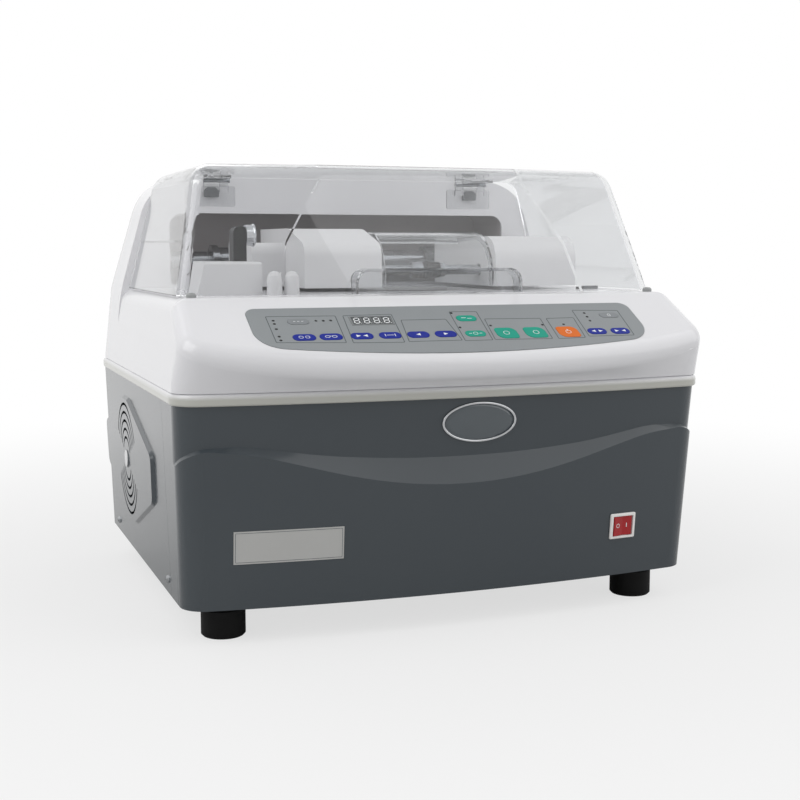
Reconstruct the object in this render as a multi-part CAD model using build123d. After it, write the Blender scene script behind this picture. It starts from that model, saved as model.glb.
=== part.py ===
from build123d import *
import os
from math import atan, atan2, cos, degrees, radians, sin

# Bench-top optical lens edger.
# Millimetres. +X runs along the width (to the operator's right), +Y to the rear, +Z up.
# The origin lies on the surface that the feet stand on, under the middle of the machine.
# Depths are given as distances behind the cabinet's front corner line, which is at Y = F.

# ---------------------------------------------------------------- driving dimensions
F = -224.9              # Y of the front corner line
REAR = 490.0            # depth of the rearmost point of the white cover
TOP = 462.0             # height of the closed hood

FOOT_R, FOOT_H = 22.0, 35.0
FOOT_X, FOOT_FRONT, FOOT_REAR = 228.0, 52.0, 412.0

CAB_HALF = 273.5        # half width of the grey cabinet at its foot
CAB_HALF_TOP = 280.3    # half width of the grey cabinet at its top
CAB_Z0, CAB_Z1 = 35.0, 232.0
CAB_REAR = 457.0
CORNER_R = 26.0         # vertical front corners in plan
SHEET = 2.0             # sheet steel
SEAM = 78.0             # depth of the seam between the front wrap and the side panels
GAP = 0.3               # clearance between moving bodies

LIP_HALF, LIP_Z1 = 283.0, 244.0
LIP_MID, LIP_REAR = -20.0, 468.0

COVER_WALL = 3.5
COVER_HALF = 282.0      # half width of the cover just above its lip
SLOPE = 0.56            # rise over run of the control console
DECK_Z, DECK_FRONT = 330.0, 58.0
BULKHEAD = 365.0        # depth of the wall behind the hood
RIM_R = 16.0            # rounding of the console's outline
WINDOW_HALF, WINDOW_Z0, WINDOW_Z1, WINDOW_R = 213.0, 333.5, 417.0, 15.0

SLOPE_DEG = degrees(atan(SLOPE))
PANEL_TOP = 38.9        # depth of the membrane's straight upper edge
MEMBRANE_HALF, MEMBRANE_T, MEMBRANE_POCKET = 207.0, 2.3, 1.8
KEY_TRAVEL = 0.4

HOOD_T = 3.0
HOOD_Z0 = 331.0
HOOD_REAR = 359.5
HINGE_D, HINGE_Z, HINGE_X = 358.0, 455.2, 165.0

HEAD_FRONT, HEAD_Z0, HEAD_Z1, HEAD_REAR = 165.0, 334.0, 390.0, 350.0
HEAD_WALL, HEAD_R = 2.5, 28.0
SHAFT_D, SHAFT_Z, SHAFT_R = 415.0, 362.0, 10.0       # rear guide shaft
LENS_D, LENS_Z, LENS_R = 214.0, 352.0, 5.5           # lens shafts
WHEEL_D, WHEEL_Z, WHEEL_R = 222.0, 270.0, 50.0       # grinding wheels under the lens
GUARD_D, GUARD_Z, GUARD_R = 214.0, 345.0, 49.0       # clear guard's front arc
GUARD_X0, GUARD_X1 = -19.0, 111.0
GUARD_PIN_D, GUARD_PIN_Z = 270.0, 390.0

MOTOR_D, MOTOR_Z, MOTOR_R = 250.0, 100.0, 48.0
BELT_X0, BELT_X1 = 166.0, 176.0
WHEEL_PULLEY_R, MOTOR_PULLEY_R = 25.0, 30.0

FAN_D, FAN_Z, FAN_SIZE = 296.0, 141.0, 120.0
FAN_X0, FAN_X1 = -271.5, -233.5

SWITCH_X, SWITCH_Z, SWITCH_W, SWITCH_H = 186.0, 88.5, 31.0, 27.0


# ---------------------------------------------------------------- helpers
def block(x0, x1, d0, d1, z0, z1):
    """Box between two widths, two depths behind the corner line and two heights."""
    centre = ((x0 + x1) / 2, F + (d0 + d1) / 2, (z0 + z1) / 2)
    return Pos(*centre) * Box(x1 - x0, d1 - d0, z1 - z0)


def rod_x(x0, x1, d, z, r):
    return Pos((x0 + x1) / 2, F + d, z) * Rot(0, 90, 0) * Cylinder(r, x1 - x0)


def rod_y(d0, d1, x, z, r):
    return Pos(x, F + (d0 + d1) / 2, z) * Rot(90, 0, 0) * Cylinder(r, d1 - d0)


def rod_z(z0, z1, x, d, r):
    return Pos(x, F + d, (z0 + z1) / 2) * Cylinder(r, z1 - z0)


def side_profile(points, x0, x1):
    """Extrude a closed outline of (depth, height) points from x0 to x1."""
    face = make_face(Polyline(*[(F + d, z) for d, z in points], close=True))
    return extrude(Plane.YZ.offset(x0) * face, x1 - x0)


def rounded(points, radii):
    """Closed outline of (u, v) points whose corners have the given radii, 0 for sharp."""
    face = make_face(Polyline(*points, close=True))
    for (u, v), r in zip(points, radii):
        if r:
            corner = face.vertices().sort_by(lambda p: abs(p.X - u) + abs(p.Y - v))[0]
            face = fillet(corner, r)
    return face


def along_x(face, x0, x1):
    return extrude(Plane.YZ.offset(x0) * face, x1 - x0)


def along_y(face, d0, d1):
    return extrude(Plane.XZ.offset(-(F + d1)) * face, d1 - d0)


def plan(half, mid, corner, rear, r_front, r_rear):
    """Plan outline with a bowed front edge and rounded corners."""
    bow = ThreePointArc((-half, F + corner), (0, F + mid), (half, F + corner))
    rest = Polyline((half, F + corner), (half, F + rear), (-half, F + rear), (-half, F + corner))
    face = make_face(bow.edges() + rest.edges())
    by_depth = face.vertices().sort_by(Axis.Y)
    face = fillet(by_depth[:2], r_front)
    return fillet(face.vertices().sort_by(Axis.Y)[-2:], r_rear)


def stack(low, z0, high, z1):
    """Ruled loft between two plan outlines."""
    return loft([Plane.XY.offset(z0) * low, Plane.XY.offset(z1) * high], ruled=True)


def panel_plane():
    """Plane of the sloping console: local x across, local y up the slope, z outwards."""
    z_top = DECK_Z - SLOPE * (DECK_FRONT - PANEL_TOP)
    normal = (0, -sin(radians(SLOPE_DEG)), cos(radians(SLOPE_DEG)))
    return Plane(origin=(0, F + PANEL_TOP, z_top), x_dir=(1, 0, 0), z_dir=normal)


# ---------------------------------------------------------------- grey cabinet
BULGE_Z = 147.0                       # where the sculpted lower front stands proudest
FRONT_MID, FRONT_MID_BULGE = -6.0, -16.0
UPPER_MID_AT_LEDGE, LEDGE_Z, UPPER_MID = -6.0, 173.0, -14.0
CAB_CORNER_LOW, CAB_CORNER_HIGH = 15.0, 3.0

# The smile-shaped ledge: half width, height of its upper crease, height of its lower edge
LEDGE = [(0, 173.5, 147.5), (50, 175, 151), (100, 180, 161), (150, 187, 175),
         (195, 195, 187), (232, 201.5, 196), (252, 200, 197), (266, 192, 190), (277, 176, 175)]
LEDGE_END = 290.0
PANEL_WALL = 4.0
BOW_HALF = CAB_HALF


def lower_front(inset):
    """The proud lower part of the cabinet, leaning forward to the ledge."""
    lean = (FRONT_MID - FRONT_MID_BULGE) / (BULGE_Z - CAB_Z0) * (CAB_Z1 - CAB_Z0)
    low = plan(CAB_HALF - inset, FRONT_MID + inset, CAB_CORNER_LOW + inset, CAB_REAR, CORNER_R - inset, 8)
    high = plan(CAB_HALF_TOP - inset, FRONT_MID - lean + inset, CAB_CORNER_HIGH - 3 + inset, CAB_REAR,
                CORNER_R - inset, 8)
    return stack(low, CAB_Z0, high, CAB_Z1)


def upper_front(inset):
    """The set-back upper part of the cabinet, down to its foot."""
    lean = (UPPER_MID_AT_LEDGE - UPPER_MID) / (CAB_Z1 - LEDGE_Z)
    mid_low = UPPER_MID + lean * (CAB_Z1 - CAB_Z0)
    low = plan(CAB_HALF - inset, mid_low + inset, CAB_CORNER_LOW + 6 + inset, CAB_REAR, CORNER_R - inset, 8)
    high = plan(CAB_HALF_TOP - inset, UPPER_MID + inset, CAB_CORNER_HIGH + inset, CAB_REAR, CORNER_R - inset, 8)
    return stack(low, CAB_Z0, high, CAB_Z1)


def ledge_cutter():
    """Prism under the ledge: its top is ruled from a rear curve down to a front curve."""
    def curve_face(depth, heights):
        right = [(x, z) for (x, _, _), z in zip(LEDGE, heights)]
        points = [(-x, z) for x, z in reversed(right[1:])] + right
        top = Spline(*points)
        ends = Polyline(points[-1], (LEDGE_END, 130), (LEDGE_END, 20), (-LEDGE_END, 20), (-LEDGE_END, 130),
                        points[0])
        return Plane.XZ.offset(-(F + depth)) * make_face(top.edges() + ends.edges())

    back_heights, front_heights = [], []
    back_depth, front_depth = 40.0, -40.0
    for x, crease, edge in LEDGE:
        bow = 18.0 * (x / BOW_HALF) ** 2
        recess, proud = UPPER_MID_AT_LEDGE + bow, FRONT_MID_BULGE + bow + 6.0 * (x / BOW_HALF) ** 2
        rise = (crease - edge) / (recess - proud)
        back_heights.append(crease + rise * (back_depth - recess))
        front_heights.append(edge - rise * (proud - front_depth))
    return loft([curve_face(back_depth, back_heights), curve_face(front_depth, front_heights)], ruled=True)


def front_surface_depth(x, z):
    """Depth of the lower front's outer face."""
    lean = (FRONT_MID - FRONT_MID_BULGE) / (BULGE_Z - CAB_Z0)
    mid = FRONT_MID - lean * (z - CAB_Z0)
    return mid + (CAB_CORNER_LOW - FRONT_MID) * (x / CAB_HALF) ** 2


def switch_plane():
    """Plane on the front panel at the power switch, facing outwards."""
    yaw = atan(2 * (CAB_CORNER_LOW - FRONT_MID) * SWITCH_X / CAB_HALF ** 2)
    pitch = atan((FRONT_MID - FRONT_MID_BULGE) / (BULGE_Z - CAB_Z0))
    depth = front_surface_depth(SWITCH_X, SWITCH_Z) - 0.2
    normal = (sin(yaw) * cos(pitch), -cos(yaw) * cos(pitch), -sin(pitch))
    return Plane(origin=(SWITCH_X, F + depth, SWITCH_Z), x_dir=(cos(yaw), sin(yaw), 0), z_dir=normal)


def front_panel():
    proud = lower_front(0) & ledge_cutter()
    body = upper_front(0) + proud
    body -= upper_front(PANEL_WALL) + (lower_front(PANEL_WALL) & Pos(0, 0, -PANEL_WALL) * ledge_cutter())
    body &= block(-300, 300, -80, SEAM, CAB_Z0, CAB_Z1)
    body -= switch_plane() * Pos(0, 0, -10) * Box(28.6, 24.6, 40)
    return body


def vent_outline():
    """The raised eight-sided field round the vents, in (y, z)."""
    left = [(FAN_D - 158, 168), (FAN_D - 154, 115), (FAN_D - 31, 71)]
    right = [(FAN_D + 31, 71), (FAN_D + 154, 115), (FAN_D + 158, 168)]
    top = [(FAN_D + 17, 212), (FAN_D - 17, 212)]
    points = [(F + d, z) for d, z in left + right + top]
    return rounded(points, [14, 14, 18, 18, 14, 14, 18, 18])


LEAN_DEG = degrees(atan2(CAB_HALF_TOP - CAB_HALF, CAB_Z1 - CAB_Z0))


def leaned(side, shape):
    """Lean a shape built upright outwards with the side wall, about the wall's foot."""
    foot = Pos(side * CAB_HALF, 0, CAB_Z0)
    return foot * Rot(0, side * LEAN_DEG, 0) * foot.inverse() * shape


def side_plate(x0, x1):
    return block(x0, x1, SEAM + 0.4, CAB_REAR - SHEET, CAB_Z0 - 5, CAB_Z1 + 5)


def between_floor_and_cover(shape):
    return shape & block(-300, 300, -80, REAR, CAB_Z0, CAB_Z1)


VENT_RADII = (24.0, 33.5, 43.0, 52.5, 62.0)
VENT_W, VENT_HALF_DEG, EMBOSS = 3.0, 66.0, 3.2


def vent_slots(x0, x1):
    """Concentric arc slots above and below the fan's axis."""
    slots = None
    for r in VENT_RADII:
        ring = Circle(r + VENT_W / 2) - Circle(r - VENT_W / 2)
        for middle in (90, 270):
            reach = 90.0
            a0, a1 = radians(middle - VENT_HALF_DEG), radians(middle + VENT_HALF_DEG)
            mid = radians(middle)
            wedge = make_face(Polyline((0, 0), (reach * cos(a0), reach * sin(a0)),
                                       (reach * 1.4 * cos(mid), reach * 1.4 * sin(mid)),
                                       (reach * cos(a1), reach * sin(a1)), close=True))
            slot = ring & wedge
            slots = slot if slots is None else slots + slot
    return extrude(Plane.YZ.offset(x0) * Pos(F + FAN_D, FAN_Z) * slots, x1 - x0)


def left_side_panel():
    face = vent_outline()
    plate = side_plate(-CAB_HALF, -CAB_HALF + SHEET)
    raised = extrude(Plane.YZ.offset(-CAB_HALF) * face, -EMBOSS, taper=45)
    hollow = Pos(SHEET, 0, 0) * raised
    hollow += extrude(Plane.YZ.offset(-CAB_HALF + SHEET) * offset(face, -SHEET), 1.0)
    body = plate + raised - hollow
    dome = Pos(-CAB_HALF - EMBOSS, F + FAN_D, FAN_Z) * Rot(0, -90, 0) * Cone(13, 9, 2.0)
    body = body + dome - vent_slots(-CAB_HALF - 10, -CAB_HALF + 5)
    return between_floor_and_cover(leaned(-1, body))


def right_side_panel():
    body = side_plate(CAB_HALF - SHEET, CAB_HALF)
    slot = SlotOverall(60, 5)
    for row in range(6):
        place = Plane.YZ.offset(CAB_HALF - 10) * Pos(F + FAN_D, FAN_Z - 35 + 14 * row)
        body -= extrude(place * slot, 20)
    return between_floor_and_cover(leaned(1, body))


INLET_X, INLET_Z = 150.0, 85.0


def rear_panel():
    outline = [(-CAB_HALF, CAB_Z0), (CAB_HALF, CAB_Z0), (CAB_HALF_TOP, CAB_Z1), (-CAB_HALF_TOP, CAB_Z1)]
    body = along_y(rounded(outline, [0, 0, 0, 0]), CAB_REAR - SHEET, CAB_REAR)
    uprights = body.edges().filter_by(lambda e: abs(e.center().X) > CAB_HALF and e.center().Y > F + CAB_REAR - 0.1)
    body = fillet(uprights, 1.5)
    body -= block(INLET_X - 14, INLET_X + 14, CAB_REAR - 5, CAB_REAR + 5, INLET_Z - 10, INLET_Z + 10)
    for row in range(5):
        z = 150 + 12 * row
        body -= along_y(Pos(-120, z) * SlotOverall(110, 5), CAB_REAR - 5, CAB_REAR + 5)
    return body


def base_plate():
    """Steel tray with turned-up flanges that the panels screw to."""
    outline = plan(CAB_HALF - PANEL_WALL - 1, FRONT_MID + PANEL_WALL + 5, CAB_CORNER_LOW + PANEL_WALL + 3,
                   CAB_REAR - SHEET - 0.3, CORNER_R + 10, 4)
    floor_plate = extrude(Plane.XY.offset(CAB_Z0) * outline, 3.0)
    flange = extrude(Plane.XY.offset(CAB_Z0) * (outline - offset(outline, -2.0)), 15.0)
    body = floor_plate + flange
    for x in (-FOOT_X, FOOT_X):
        for d in (FOOT_FRONT, FOOT_REAR):
            body -= rod_z(CAB_Z0 - 5, CAB_Z0 + 5, x, d, 4.2)
    return body


def rubber_feet():
    profile = make_face(Polyline((4.3, 0), (FOOT_R - 2, 0), (FOOT_R, 2), (FOOT_R, FOOT_H - 8), (FOOT_R - 3, FOOT_H - 6),
                                 (FOOT_R - 3, FOOT_H), (4.3, FOOT_H), (4.3, 14), (9.5, 14), (9.5, 5), (4.3, 5),
                                 close=True))
    foot = revolve(Plane.XZ * profile, Axis.Z)
    foot += Pos(0, 0, 2.5) * Cylinder(4.5, 5)
    places = [(x, d) for x in (-FOOT_X, FOOT_X) for d in (FOOT_FRONT, FOOT_REAR)]
    return Compound(children=[Pos(x, F + d, 0) * foot for x, d in places])


def foot_bolts():
    bolts = []
    for x in (-FOOT_X, FOOT_X):
        for d in (FOOT_FRONT, FOOT_REAR):
            shank = rod_z(8.0, CAB_Z0 + 14, x, d, 4.0)
            head = Pos(x, F + d, 9.5) * extrude(RegularPolygon(8.0, 6), 4.2)
            nut = Pos(x, F + d, CAB_Z0 + 3.0) * extrude(RegularPolygon(7.5, 6), 6.5)
            bolts.append(shank + head + nut)
    return Compound(children=bolts)


SIDE_SCREWS = [(91.0, 50.0), (408.0, 48.0)]


def panel_screws():
    """Pan-head screws of the side panels, seated on the sheet."""
    screws = []
    for side in (-1, 1):
        for d, z in SIDE_SCREWS:
            head = revolve(Plane.XZ * make_face(Polyline((0, 0), (4.0, 0), (3.6, 1.6), (2.2, 2.4), (0, 2.6),
                                                         close=True)), Axis.Z)
            head -= Pos(0, 0, 2.2) * Box(5.0, 0.9, 1.2)
            head -= Pos(0, 0, 2.2) * Box(0.9, 5.0, 1.2)
            screws.append(leaned(side, Pos(side * CAB_HALF, F + d, z) * Rot(0, side * 90, 0) * head))
    return Compound(children=screws)


# ---------------------------------------------------------------- white cover
COVER_MID, COVER_CORNER = -19.0, 2.0          # front edge where the cover meets its lip
CHIN_LEAN_MID, CHIN_LEAN_CORNER = 1.667, 0.29   # run forward per unit of height, under the rim
SHOULDER_R, HOUSING_R = 18.0, 60.0

# Cover's plan at three heights: height, half width, depth of the rear, corner radii
COVER_TIERS = ((LIP_Z1, 282.5, 465.5, 28.0), (330.0, 272.5, 489.0, 50.0), (TOP + 2, 236.5, 492.0, 85.0))


def console_section(inset):
    """Cross-section of the deck and console, in (x, z)."""
    k = inset
    right = [(COVER_HALF - k, 230), (COVER_HALF - 1.5 - k, 270), (270.5 - k, DECK_Z - k + 0.2)]
    points = right + [(-x, z) for x, z in reversed(right)]
    return rounded(points, [0, 80, SHOULDER_R - k, SHOULDER_R - k, 80, 0])


def housing_section(inset):
    """Cross-section of the tall rear housing, in (x, z)."""
    k = inset
    right = [(COVER_HALF - k, 230), (COVER_HALF - 1.5 - k, 270), (272 - k, 330), (235.5 - k, TOP - 3 - k)]
    points = right + [(-x, z) for x, z in reversed(right)]
    return rounded(points, [0, 80, 200, HOUSING_R - k, HOUSING_R - k, 200, 80, 0])


def cover_profile(inset):
    """Side profile: console slope, deck, bulkhead, housing top and rounded back, in (y, z)."""
    k = inset
    slope_k = k * (1 + SLOPE ** 2) ** 0.5
    start = -110.0
    slope_z = DECK_Z + SLOPE * (start - DECK_FRONT) - slope_k
    knee = DECK_FRONT + (slope_k - k) / SLOPE
    points = [(start, 230 if k else slope_z - 1), (start, slope_z), (knee, DECK_Z - k), (BULKHEAD + k, DECK_Z - k),
              (BULKHEAD + k, TOP - k), (484 - k, TOP - 4 - k), (REAR - k, 372), (487.5 - k, 326), (461 - k, 230)]
    if not k:
        points[0] = (start, slope_z - 1)
    points = [(F + d, z) for d, z in points]
    radii = [0, 0, 0 if k else 12, 0, 4, 50 - k, 60, 40, 0]
    return rounded(points, radii)


def on_console_rim(edge, k):
    """True for the edges that bound the sloping console of a solid inset by k."""
    p = edge.center()
    d = p.Y - F
    height = DECK_Z + SLOPE * (d - DECK_FRONT) - k * (1 + SLOPE ** 2) ** 0.5
    return d < DECK_FRONT - 6 and abs(p.Z - height) < 2.5


def cover_solid(inset):
    """Solid form of the cover above its lip; the outermost one has a rounded console rim."""
    k = inset
    tiers = []
    for z, half, rear, r in COVER_TIERS:
        mid = COVER_MID + 2 * k - CHIN_LEAN_MID * (z - LIP_Z1)
        corner = COVER_CORNER + k - CHIN_LEAN_CORNER * (z - LIP_Z1)
        tiers.append(Plane.XY.offset(z) * plan(half - k, mid, corner, rear - k, r - k, r - k))
    body = loft(tiers, ruled=True) & along_x(cover_profile(k), -300, 300)
    body = fillet(body.edges().filter_by(lambda e: on_console_rim(e, k)), RIM_R - k)
    section = along_y(console_section(k), -120, REAR + 10) + along_y(housing_section(k), BULKHEAD + k, REAR + 10)
    return body & section


def lip():
    """Rounded bead round the foot of the cover."""
    outline = plan(LIP_HALF, LIP_MID, 0, LIP_REAR, CORNER_R + 3, 20)
    bead = extrude(Plane.XY.offset(CAB_Z1) * outline, LIP_Z1 - CAB_Z1)
    bead = fillet(bead.edges().group_by(Axis.Z)[-1], 5.0)
    return fillet(bead.edges().group_by(Axis.Z)[0], 2.4)


def membrane_outline(grow):
    """Outline of the control panel in its own plane, bowed along the bottom."""
    half, top, corner, middle = MEMBRANE_HALF, 0.0, -66.0, -84.2
    bow = ThreePointArc((-half, corner), (0, middle), (half, corner))
    rest = Polyline((half, corner), (half, top), (-half, top), (-half, corner))
    face = make_face(bow.edges() + rest.edges())
    face = fillet(face.vertices().sort_by(Axis.Y)[-2:], 11)
    face = fillet(face.vertices().sort_by(Axis.Y)[:2], 30)
    return offset(face, grow) if grow else face


WELL = (-14.0, 106.0, 167.0, 290.0)           # opening in the deck over the grinding wheels


def top_cover():
    body = cover_solid(0) + lip()
    body -= cover_solid(COVER_WALL)
    body -= extrude(Plane.XY.offset(CAB_Z1 - 1) * plan(CAB_HALF_TOP - 6, COVER_MID + 5, COVER_CORNER + 6,
                                                       CAB_REAR - 4, CORNER_R - 5, 20), LIP_Z1 - CAB_Z1 + 2)
    pocket = extrude(membrane_outline(0.2), 20)
    body -= panel_plane() * Pos(0, 0, -MEMBRANE_POCKET) * pocket
    body -= block(WELL[0], WELL[1], WELL[2], WELL[3], DECK_Z - 10, DECK_Z + 10)
    window = rounded([(-WINDOW_HALF, WINDOW_Z0), (WINDOW_HALF, WINDOW_Z0), (WINDOW_HALF, WINDOW_Z1),
                      (-WINDOW_HALF, WINDOW_Z1)], [4, 4, WINDOW_R, WINDOW_R])
    body -= along_y(window, BULKHEAD - 10, BULKHEAD + 10)
    return body


def rear_chamber():
    """Dark five-sided box behind the window, with a boss for each end of the guide shaft."""
    front = BULKHEAD + COVER_WALL
    outer = rounded([(-218, 328), (218, 328), (218, 422), (-218, 422)], [6, 6, 17, 17])
    inner = rounded([(-215, 331), (215, 331), (215, 419), (-215, 419)], [4, 4, 14, 14])
    body = along_y(outer, front, 462) - along_y(inner, front - 1, 459)
    for x0, x1 in ((-215.5, -205), (205, 215.5)):
        body += rod_x(x0, x1, SHAFT_D, SHAFT_Z, 17)
        body -= rod_x(x0 + 0.5 if x0 < 0 else x0 - 1, x1 + 1 if x0 < 0 else x1 - 0.5, SHAFT_D, SHAFT_Z, SHAFT_R + 0.02)
    return body


# ---------------------------------------------------------------- control panel
# Keys: name, across, up the slope from the upper edge, width, height, shape
KEYS = [("mode", -158.8, -24.5, 21.5, 9.5, "slot"),
        ("lens_type", -159.8, -52.0, 22.5, 11.0, "slot"),
        ("frame_type", -133.5, -52.0, 22.5, 11.0, "slot"),
        ("pressure", -102.7, -52.0, 22.5, 11.0, "slot"),
        ("size", -74.2, -52.0, 22.5, 11.0, "slot"),
        ("step_left", -45.2, -52.0, 22.5, 11.0, "slot"),
        ("step_right", -16.6, -52.0, 22.5, 11.0, "slot"),
        ("bevel", 15.2, -24.6, 21.5, 10.5, "slot"),
        ("polish", 14.8, -52.6, 21.5, 10.5, "slot"),
        ("left_lens", 48.4, -53.0, 23.0, 19.0, "leaf"),
        ("right_lens", 79.8, -53.2, 23.0, 19.0, "leaf"),
        ("start", 116.2, -53.6, 23.0, 19.0, "leaf"),
        ("coolant", 176.3, -24.2, 21.5, 9.5, "slot"),
        ("chuck_open", 148.9, -53.8, 21.0, 11.0, "slot"),
        ("chuck_close", 175.3, -54.3, 21.0, 11.0, "slot")]
DISPLAY_U, DISPLAY_V, DISPLAY_W, DISPLAY_H = -85.0, -25.3, 44.0, 16.0


def key_face(w, h, shape):
    if shape == "slot":
        return RectangleRounded(w, h, h / 2 - 0.1)
    corners = [(-w / 2, -h / 2), (w / 2, -h / 2), (w / 2, h / 2), (-w / 2, h / 2)]
    return rounded(corners, [h * 0.44, h * 0.2, h * 0.44, h * 0.2])


def control_membrane():
    sheet = extrude(membrane_outline(0), MEMBRANE_T)
    for _, u, v, w, h, shape in KEYS:
        sheet -= Pos(u, v, -1) * extrude(offset(key_face(w, h, shape), 0.25), 6)
    sheet -= Pos(DISPLAY_U, DISPLAY_V, 0) * Box(DISPLAY_W, DISPLAY_H, 10)
    return panel_plane() * Pos(0, 0, -MEMBRANE_POCKET) * sheet


def display_window():
    window = Box(DISPLAY_W - 0.1, DISPLAY_H - 0.1, MEMBRANE_T + 0.3, align=(Align.CENTER, Align.CENTER, Align.MIN))
    window = chamfer(window.edges().group_by(Axis.Z)[-1], 0.2)
    return panel_plane() * Pos(DISPLAY_U, DISPLAY_V, -MEMBRANE_POCKET) * window


def key(u, v, w, h, shape):
    cap = extrude(key_face(w, h, shape), 2.1)
    cap = chamfer(cap.edges().group_by(Axis.Z)[-1], 0.3)
    return panel_plane() * Pos(u, v, -MEMBRANE_POCKET + KEY_TRAVEL + 0.2) * cap


# ---------------------------------------------------------------- power switch and inlet
def switch_housing():
    bezel = extrude(RectangleRounded(SWITCH_W, SWITCH_H, 1.5), 2.2)
    bezel = chamfer(bezel.edges().group_by(Axis.Z)[-1], 0.8)
    can = Pos(0, 0, -12) * Box(28.2, 24.2, 24)
    body = bezel + can - Pos(0, 0, -7.0) * Box(25.0, 21.4, 20.0)
    return switch_plane() * body


ROCKER_W, ROCKER_H, ROCKER_DEG = 23.6, 20.6, 9.0


def power_rocker():
    """Rocker on an upright axis: two faces meeting at a shallow valley."""
    profile = make_face(Polyline((-ROCKER_W / 2 + 0.6, -7), (ROCKER_W / 2 - 0.6, -7), (ROCKER_W / 2, 2.0), (0, 0.4),
                                 (-ROCKER_W / 2, 2.0), close=True))
    rocker = extrude(Plane.XZ.offset(-ROCKER_H / 2) * profile, ROCKER_H)
    rocker &= Pos(0, 0, -2.8) * Rot(90, 0, 0) * Cylinder(12.2, 30)
    return switch_plane() * Rot(0, ROCKER_DEG / 2, 0) * rocker


def power_inlet():
    """Three-pin appliance inlet in the rear panel."""
    d = CAB_REAR
    flange = along_y(Pos(INLET_X, INLET_Z) * RectangleRounded(50, 26, 6), d, d + 3)
    body = flange + block(INLET_X - 13.7, INLET_X + 13.7, d - 22, d + 0.1, INLET_Z - 9.7, INLET_Z + 9.7)
    body -= block(INLET_X - 12, INLET_X + 12, d - 14, d + 4, INLET_Z - 8, INLET_Z + 8)
    for x, z in ((-7, -2), (0, 2), (7, -2)):
        body += block(INLET_X + x - 1, INLET_X + x + 1, d - 15, d - 1, INLET_Z + z - 3, INLET_Z + z + 3)
    return body


# ---------------------------------------------------------------- clear hood
HOOD_MID_Z = 385.0      # height at which the folds between the front's facets change direction
HOOD_LOW = [(-264, HOOD_REAR), (-262, 80), (-169, 60), (169, 60), (262, 80), (264, HOOD_REAR)]
HOOD_MID = [(-250, HOOD_REAR), (-250.5, 99.4), (-153.5, 76.9), (153.5, 76.9), (250.5, 99.4), (250, HOOD_REAR)]
HOOD_HIGH = [(-230, HOOD_REAR), (-234, 127), (-104, 101), (104, 101), (234, 127), (230, HOOD_REAR)]
HOOD_TOP_R, HOOD_CORNER_R = 24.0, 12.0


def inset_outline(points, k):
    """Hood outline moved in by k at the sides and front, and run out behind by 2 k."""
    moved = []
    for x, d in points:
        side = (x > 0) - (x < 0)
        if d > 300:
            moved.append((x - side * k, d + 2 * k))
        else:
            moved.append((x - side * k * (0.45 if abs(x) < 200 else 0.9), d + k))
    return moved


def hood_solid(k):
    """Solid form of the hood inset by k: a ruled loft with a rounded top and front edges."""
    faces = []
    for points, z in ((HOOD_LOW, HOOD_Z0 - k), (HOOD_MID, HOOD_MID_Z - k), (HOOD_HIGH, TOP - k)):
        outline = make_face(Polyline(*[(x, F + d) for x, d in inset_outline(points, k)], close=True))
        faces.append(Plane.XY.offset(z) * outline)
    body = loft(faces, ruled=True)
    top_rim = body.edges().filter_by(lambda e: e.center().Z > TOP - k - 1 and e.center().Y < F + HOOD_REAR - 1)
    body = fillet(top_rim, HOOD_TOP_R - k * 4 / 3)
    corners = body.edges().filter_by(lambda e: abs(e.center().Z - 390) < 45 and e.center().Y < F + 125
                                     and abs(e.center().X) > 200)
    return fillet(corners, HOOD_CORNER_R)


def hood():
    return hood_solid(0) - hood_solid(HOOD_T)


HANDLE_HALF, HANDLE_Z1, HANDLE_D, HANDLE_R = 90.5, 357.0, 46.0, 14.0


def hood_handle():
    """Clear finger pull: a shallow tray with rounded upper corners, open below."""
    def tray(k, z0):
        return rounded([(-HANDLE_HALF + k, z0), (HANDLE_HALF - k, z0), (HANDLE_HALF - k, HANDLE_Z1 - k),
                        (-HANDLE_HALF + k, HANDLE_Z1 - k)], [0, 0, HANDLE_R - k, HANDLE_R - k])
    body = along_y(tray(0, HOOD_Z0 + 1), HANDLE_D, 90)
    body -= along_y(tray(3.0, HOOD_Z0 - 5), HANDLE_D + 3.0, 90)
    return body - hood_solid(0)


PIN_R, KNUCKLE_R = 1.6, 3.4


def hinge_plates():
    """Plates on the bulkhead, each with two outer knuckles."""
    plates = []
    for x in (-HINGE_X, HINGE_X):
        plate = along_y(Pos(x, 437) * RectangleRounded(58, 24, 3), BULKHEAD - 2.5, BULKHEAD)
        for side in (-1, 1):
            x0, x1 = sorted((x + side * 9.5, x + side * 19.5))
            plate += rod_x(x0, x1, HINGE_D, HINGE_Z, KNUCKLE_R)
            plate += block(x0, x1, HINGE_D - 2.0, HINGE_D + 2.0, 447.5, HINGE_Z)
            plate += block(x0, x1, HINGE_D - 2.0, BULKHEAD - 0.1, 441.5, 447.6)
        plate -= rod_x(x - 30, x + 30, HINGE_D, HINGE_Z, PIN_R + 0.02)
        plates.append(plate)
    return Compound(children=plates)


def hinge_leaves():
    """Leaves under the hood's top, each with a middle knuckle."""
    leaves = []
    under = TOP - HOOD_T
    for x in (-HINGE_X, HINGE_X):
        leaf = block(x - 14, x + 14, HINGE_D - 40, HINGE_D - 5, under - 3.0, under)
        leaf += block(x - 9, x + 9, HINGE_D - 8, HINGE_D, HINGE_Z + 0.8, under - 0.1)
        leaf += rod_x(x - 9, x + 9, HINGE_D, HINGE_Z, KNUCKLE_R)
        leaf -= rod_x(x - 12, x + 12, HINGE_D, HINGE_Z, PIN_R + 0.06)
        leaves.append(leaf)
    return Compound(children=leaves)


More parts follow.
